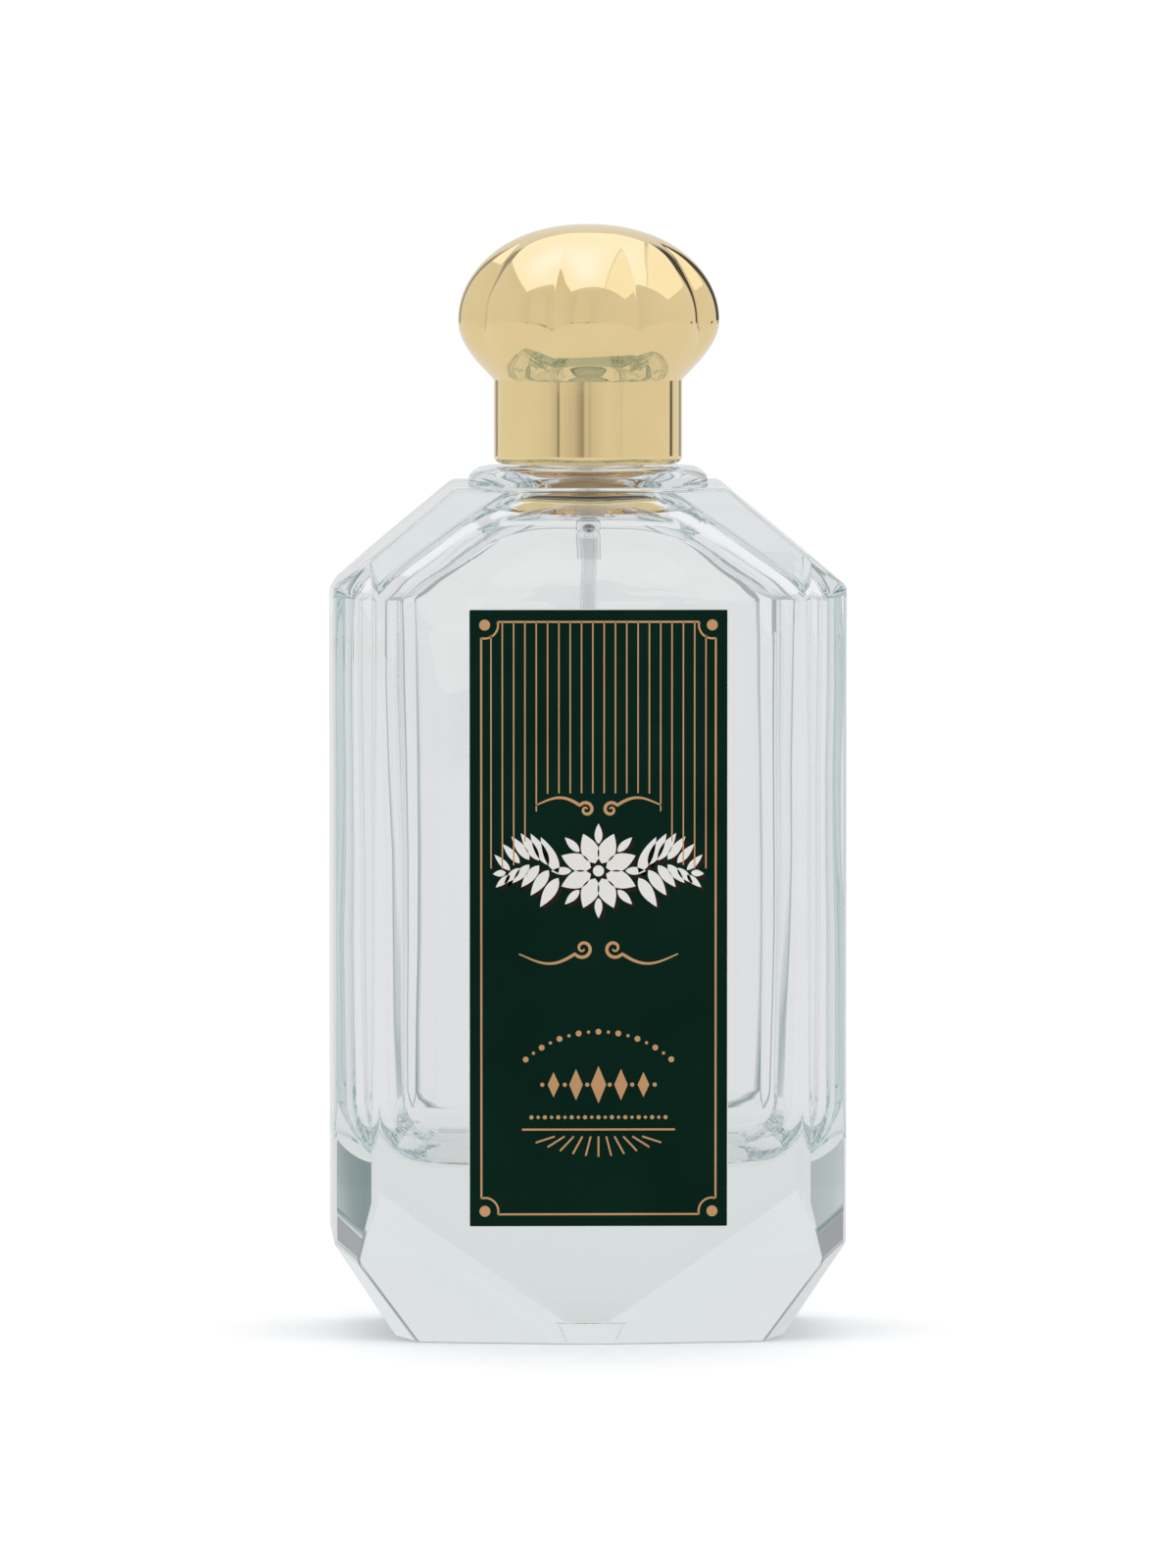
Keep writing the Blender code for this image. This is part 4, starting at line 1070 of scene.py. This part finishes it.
def build_head():
    """Spray button, its gold cover and the nozzle insert."""
    low, high = BUTTON_Z
    hub_z, ceiling, socket = 125.5, 126.7, STEM_RADIUS + 0.1
    socket_top = STEM_Z[1] + 0.2
    button = turned_piece("spray_head_core", [
        (0.0, high, 0.0), (BUTTON_RADIUS, high, 0.5), (BUTTON_RADIUS, low, 0.15), (5.0, low, 0.15),
        (5.0, ceiling, 0.3), (2.8, ceiling, 0.3), (2.8, hub_z, 0.15), (socket, hub_z, 0.15),
        (socket, socket_top, 0.1), (0.0, socket_top, 0.0),
    ], "white_plastic", "spray_head", "white_plastic", "spray_button", closed=False)
    seat = radial_cutter("nozzle_seat", 1.45, 3.4, 7.5)
    boolean(button, seat, "DIFFERENCE")
    apply_modifiers(button, (seat,))
    low, high = SLEEVE_Z
    inner = SLEEVE_RADIUS - 0.4
    sleeve = turned_piece("spray_head_cover", [
        (0.0, high - 0.05, 0.0), (SLEEVE_RADIUS, high, 0.9), (SLEEVE_RADIUS, low, 0.15),
        (inner, low, 0.12), (inner, high - 0.5, 0.5), (0.0, high - 0.4, 0.0),
    ], "polished_gold", "spray_head", "polished_gold", "button_sleeve", closed=False)
    hole = radial_cutter("nozzle_hole", 1.7, 4.5, 8.0)
    boolean(sleeve, hole, "DIFFERENCE")
    apply_modifiers(sleeve, (hole,))
    face, back, radius = 5.9, 3.8, 1.35
    corners = [(0.0, back, 0.0), (radius, back, 0.1), (radius, face, 0.2), (0.75, face, 0.08),
               (0.22, face - 0.45, 0.0), (0.18, face - 1.1, 0.0), (0.0, face - 1.1, 0.0)]
    bm = spin_profile(filleted(corners, False), False, 48, (0.0, 0.0, NOZZLE_Z), (0.0, -1.0, 0.0))
    shape_piece(bm, "spray_nozzle", "white_plastic", "spray_head", "white_plastic", "nozzle_insert")


def build_tube():
    """Clear dip tube that leans to the back wall, cut on a slant at its foot."""
    top, foot = TUBE_Z[1], TUBE_Z[0]
    outer, bore, lean = 0.92, 0.6, 9.0
    bend_high, bend_low = 90.0, 39.0
    stations, sides = 90, 28
    walls = []
    bm = bmesh.new()
    for radius in (outer, bore):
        wall = []
        for station in range(stations + 1):
            t = station / stations
            z = top + (foot - top) * t
            y = lean * smoothstep((bend_high - z) / (bend_high - bend_low))
            slant = 0.9 * smoothstep((t - 0.97) / 0.03)
            wall.append(ring_at(bm, sides, lambda across, back: (
                radius * across, y + radius * back, z + slant * radius * (1.0 + back))))
        walls.append(wall)
    outer_wall, bore_wall = walls
    skin_rings(bm, outer_wall + bore_wall[::-1] + outer_wall[:1], cap_ends=False)
    shape_piece(bm, "dip_tube_clear", "natural_plastic", "bottle", "natural_plastic", "dip_tube",
                sharp_deg=50.0)


def build_spring(node, body, wire, turns):
    """Round-wire coil with closed ends."""
    bottom, top = span(node, 2)
    radius = span(node, 0)[1] - wire / 2.0
    low, high = bottom + wire / 2.0, top - wire / 2.0
    steps_per_turn, sides = 40, 12
    steps = int(turns * steps_per_turn)
    up = Vector((0.0, 0.0, 1.0))
    bm = bmesh.new()
    rings = []
    for step in range(steps + 1):
        share = step / steps
        angle = FULL_TURN * step / steps_per_turn
        outward = Vector((math.cos(angle), math.sin(angle), 0.0))
        height = low + (high - low) * (smoothstep(share) + share) / 2.0
        centre = outward * radius + up * height
        rings.append(ring_at(bm, sides, lambda out, rise: (
            centre + (outward * out + up * rise) * wire / 2.0)))
    skin_rings(bm, rings, cap_ends=True)
    coil = shape_piece(bm, node + "_coil", "steel", body, "steel", node)
    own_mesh(coil)


def repaint_cad():
    """CAD nodes that stay take the procedural material of their record slot; the neck gasket instead
    takes a plastic with a painted warm glow.
    """
    slots = {part["node"]: part["material_slot"] for part in frame["record"]["subparts"]}
    for name, node in frame["nodes"].items():
        if node.hide_render:
            continue
        material = "gasket_plastic_painted_glow" if name == "neck_gasket" else slots[name]
        node.data.materials.clear()
        node.data.materials.append(MATERIALS[material])
        node.data.shade_smooth()
        node.data.set_sharp_from_angle(angle=math.radians(40.0))


# ---------------------------------------------------------------- studio

FLOOR_HALF_SIZE = 1900.0
FLOOR_GAP = 0.1                 # air left under the glass base
# Painted shade on the table behind the body: dark streaks, seen only through the glass, that stand in
# for the dark surroundings refracted in the glass's corners: (sideways lean of the line of sight, colour
# of the glow)
PAINTED_SHADE_STREAKS = (
    (0.0, (1.0, 1.0, 1.0)), (0.42, (1.0, 1.0, 1.0)), (0.455, (0.56, 0.62, 0.61)),
    (0.487, (0.42, 0.49, 0.48)), (0.505, (0.16, 0.25, 0.24)), (0.52, (0.06, 0.17, 0.18)),
    (0.56, (0.40, 0.50, 0.50)), (0.60, (1.0, 1.0, 1.0)), (1.0, (1.0, 1.0, 1.0)),
)
PAINTED_SHADE_FROM_X = 0.026          # metres; nearer the middle the table has no painted shade streaks


def floor_material():
    """Pale table: just over plain white where it is seen directly, light grey in reflections, with
    painted shade streaks that only show through the glass and stand in for the dark refractions in its
    corners."""
    material, tree, shader = new_material("studio_floor")
    tree.links.new(two_tone(tree, noise(tree, 2.0), (0.20, 0.20, 0.20), (0.22, 0.22, 0.22)),
                   shader.inputs["Base Color"])
    tree.links.new(to_range(tree, noise(tree, 40.0), 0.6, 0.75), shader.inputs["Roughness"])
    shader.inputs["Specular IOR Level"].default_value = 0.0
    rays = tree.nodes.new("ShaderNodeLightPath")
    x, y, _ = axes_of(tree)
    edge_of_body = BODY_HALF_DEPTH * MM
    sideways = maths(tree, "ABSOLUTE", x)
    behind = maths(tree, "MAXIMUM", maths(tree, "SUBTRACT", y, edge_of_body), 0.001)
    lean = maths(tree, "DIVIDE", maths(tree, "ADD", sideways, edge_of_body), behind)
    # painted shade: only transmission rays away from the middle see the dark streaks
    through = maths(tree, "MULTIPLY", rays.outputs["Is Transmission Ray"],
                    inside(tree, sideways, (PAINTED_SHADE_FROM_X, 10.0), 0.006))
    glow = mixed(tree, through, (1.0, 1.0, 1.0, 1.0), colour_ramp(tree, lean, PAINTED_SHADE_STREAKS))
    tree.links.new(glow, shader.inputs["Emission Color"])
    shader.inputs["Emission Strength"].default_value = 0.62
    direct = tree.nodes.new("ShaderNodeBsdfDiffuse")
    direct.inputs["Color"].default_value = (1.4, 1.4, 1.4, 1.0)
    seen_directly(tree, shader, direct, "Material Output")
    return material


def build_floor():
    bm = bmesh.new()
    bmesh.ops.create_grid(bm, x_segments=8, y_segments=8, size=FLOOR_HALF_SIZE)
    bmesh.ops.translate(bm, verts=bm.verts, vec=(0.0, 0.0, -FLOOR_GAP))
    finish_mesh(bm, "studio_floor", [floor_material()])


# Brightness of the studio walls: (azimuth in degrees, 0 towards the camera and + to its right,
# brightness). Narrow dips are the gaps between the panels.
BELOW_HORIZON = (
    (-180.0, 0.86), (-159.0, 0.84), (-157.5, 0.38), (-147.0, 0.36), (-145.5, 0.80), (-128.0, 0.78),
    (-75.0, 0.78), (-50.0, 0.72), (-39.8, 0.58), (-37.9, 0.22), (-37.0, 0.24), (-35.6, 0.71),
    (-18.0, 0.60), (-11.0, 0.42), (-7.5, 0.30), (-5.0, 0.62), (-1.5, 0.66), (0.5, 0.52), (4.0, 0.66),
    (22.0, 0.76), (38.5, 0.74), (40.0, 0.66), (41.5, 0.76), (117.0, 0.79), (120.0, 0.08), (123.0, 0.10),
    (127.0, 0.76), (145.5, 0.80), (147.0, 0.36), (157.5, 0.38), (159.0, 0.84), (180.0, 0.86),
)
ABOVE_HORIZON = (
    (-180.0, 0.80), (-160.0, 0.78), (-156.0, 0.34), (-149.0, 0.34), (-144.0, 0.76), (-60.0, 0.76),
    (-36.0, 0.70), (-33.0, 0.76), (-8.0, 0.75), (-4.0, 0.72), (60.0, 0.77), (138.0, 0.78), (142.0, 0.10),
    (158.0, 0.06), (163.0, 0.76), (180.0, 0.80),
)
HORIZON_Z = -0.0225             # heights on the unit sphere round the object
CEILING_Z = 0.62
CEILING = (0.74, 0.735, 0.73)
# Panels over the object, one unit above it: x range, y range, softness of the edge, colour. The
# last one is the hot middle of the first.
SOFTBOXES = (
    ((0.46, 1.83), (-0.756, 1.46), 0.03, (1.06, 1.07, 1.10)),
    ((-0.89, 0.43), (-0.756, 1.34), 0.015, (1.10, 1.14, 1.24)),
    ((-0.55, 0.2), (-0.55, 0.45), 0.5, (1.16, 1.30, 1.85)),
)
SOFT_PANEL = (0.93, 0.94, 0.95)         # the same panels in soft light and through the glass


def wall_ramp(tree, share, stops):
    return colour_ramp(tree, share, [(degrees / 360.0 + 0.5, (tone,) * 3) for degrees, tone in stops])


def build_world():
    """Soft studio: wall panels, ceiling and softboxes. Seen directly, the backdrop is plain white."""
    world = bpy.data.worlds.new("studio")
    bpy.context.scene.world = world
    world.use_nodes = True
    tree = world.node_tree
    x, y, z = axes_of(tree, "Generated")
    azimuth = maths(tree, "ARCTAN2", x, maths(tree, "MULTIPLY", y, -1.0))
    share = maths(tree, "ADD", maths(tree, "DIVIDE", azimuth, FULL_TURN), 0.5)
    rays = tree.nodes.new("ShaderNodeLightPath")
    soft = maths(tree, "MAXIMUM", rays.outputs["Is Transmission Ray"], rays.outputs["Is Diffuse Ray"])
    mirror = maths(tree, "SUBTRACT", 1.0, soft)
    upper = maths(tree, "MULTIPLY", mirror, inside(tree, z, (HORIZON_Z, 2.0), 0.0015))
    walls = mixed(tree, upper, wall_ramp(tree, share, BELOW_HORIZON),
                  wall_ramp(tree, share, ABOVE_HORIZON))
    colour = mixed(tree, inside(tree, z, (CEILING_Z, 2.0), 0.1), walls, (*CEILING, 1.0))
    height = maths(tree, "MAXIMUM", z, 0.05)
    across, deep = maths(tree, "DIVIDE", x, height), maths(tree, "DIVIDE", y, height)
    for x_limits, y_limits, softness, bright in SOFTBOXES:
        panel = maths(tree, "MULTIPLY", inside(tree, across, x_limits, softness),
                      inside(tree, deep, y_limits, softness))
        tone = mixed(tree, mirror, (*SOFT_PANEL, 1.0), (*bright, 1.0))
        colour = mixed(tree, panel, colour, tone)
    background = tree.nodes["Background"]
    tree.links.new(colour, background.inputs["Color"])
    backdrop = tree.nodes.new("ShaderNodeBackground")
    backdrop.inputs["Color"].default_value = (1.0, 1.0, 1.0, 1.0)
    backdrop.inputs["Strength"].default_value = 1.05
    seen_directly(tree, background, backdrop, "World Output")


def build_camera():
    """Long lens about 1.4 m away, a little above the bottle's middle and a little to its left."""
    distance, elevation, azimuth = 1.4, math.radians(3.5), math.radians(-1.2)
    target = Vector((0.0, 0.0, 0.0676))
    half_height = 0.069261 * distance       # half of what the long side of the picture takes in
    lens = bpy.data.cameras.new("camera")
    lens.lens = lens.sensor_width / 2.0 * distance / half_height
    camera = bpy.data.objects.new("camera", lens)
    bpy.context.scene.collection.objects.link(camera)
    camera.location = target + distance * Vector((math.sin(azimuth) * math.cos(elevation),
                                                  -math.cos(azimuth) * math.cos(elevation),
                                                  math.sin(elevation)))
    camera.rotation_euler = (target - camera.location).to_track_quat("-Z", "Y").to_euler()
    bpy.context.scene.camera = camera


build_camera()
build_world()
build_floor()
scene = bpy.context.scene
scene.view_settings.view_transform = "Standard"
scene.cycles.max_bounces = LIGHT_BOUNCES
scene.cycles.glossy_bounces = LIGHT_BOUNCES
scene.cycles.transmission_bounces = LIGHT_BOUNCES

build_glass()
build_film()
build_print()
build_overcap()
build_liner()
build_collar()
build_ferrule()
build_housing()
build_stem()
build_head()
build_tube()
build_spring("return_spring", "bottle", RETURN_WIRE, RETURN_TURNS)
build_spring("priming_spring", "stem", PRIMING_WIRE, PRIMING_TURNS)
repaint_cad()
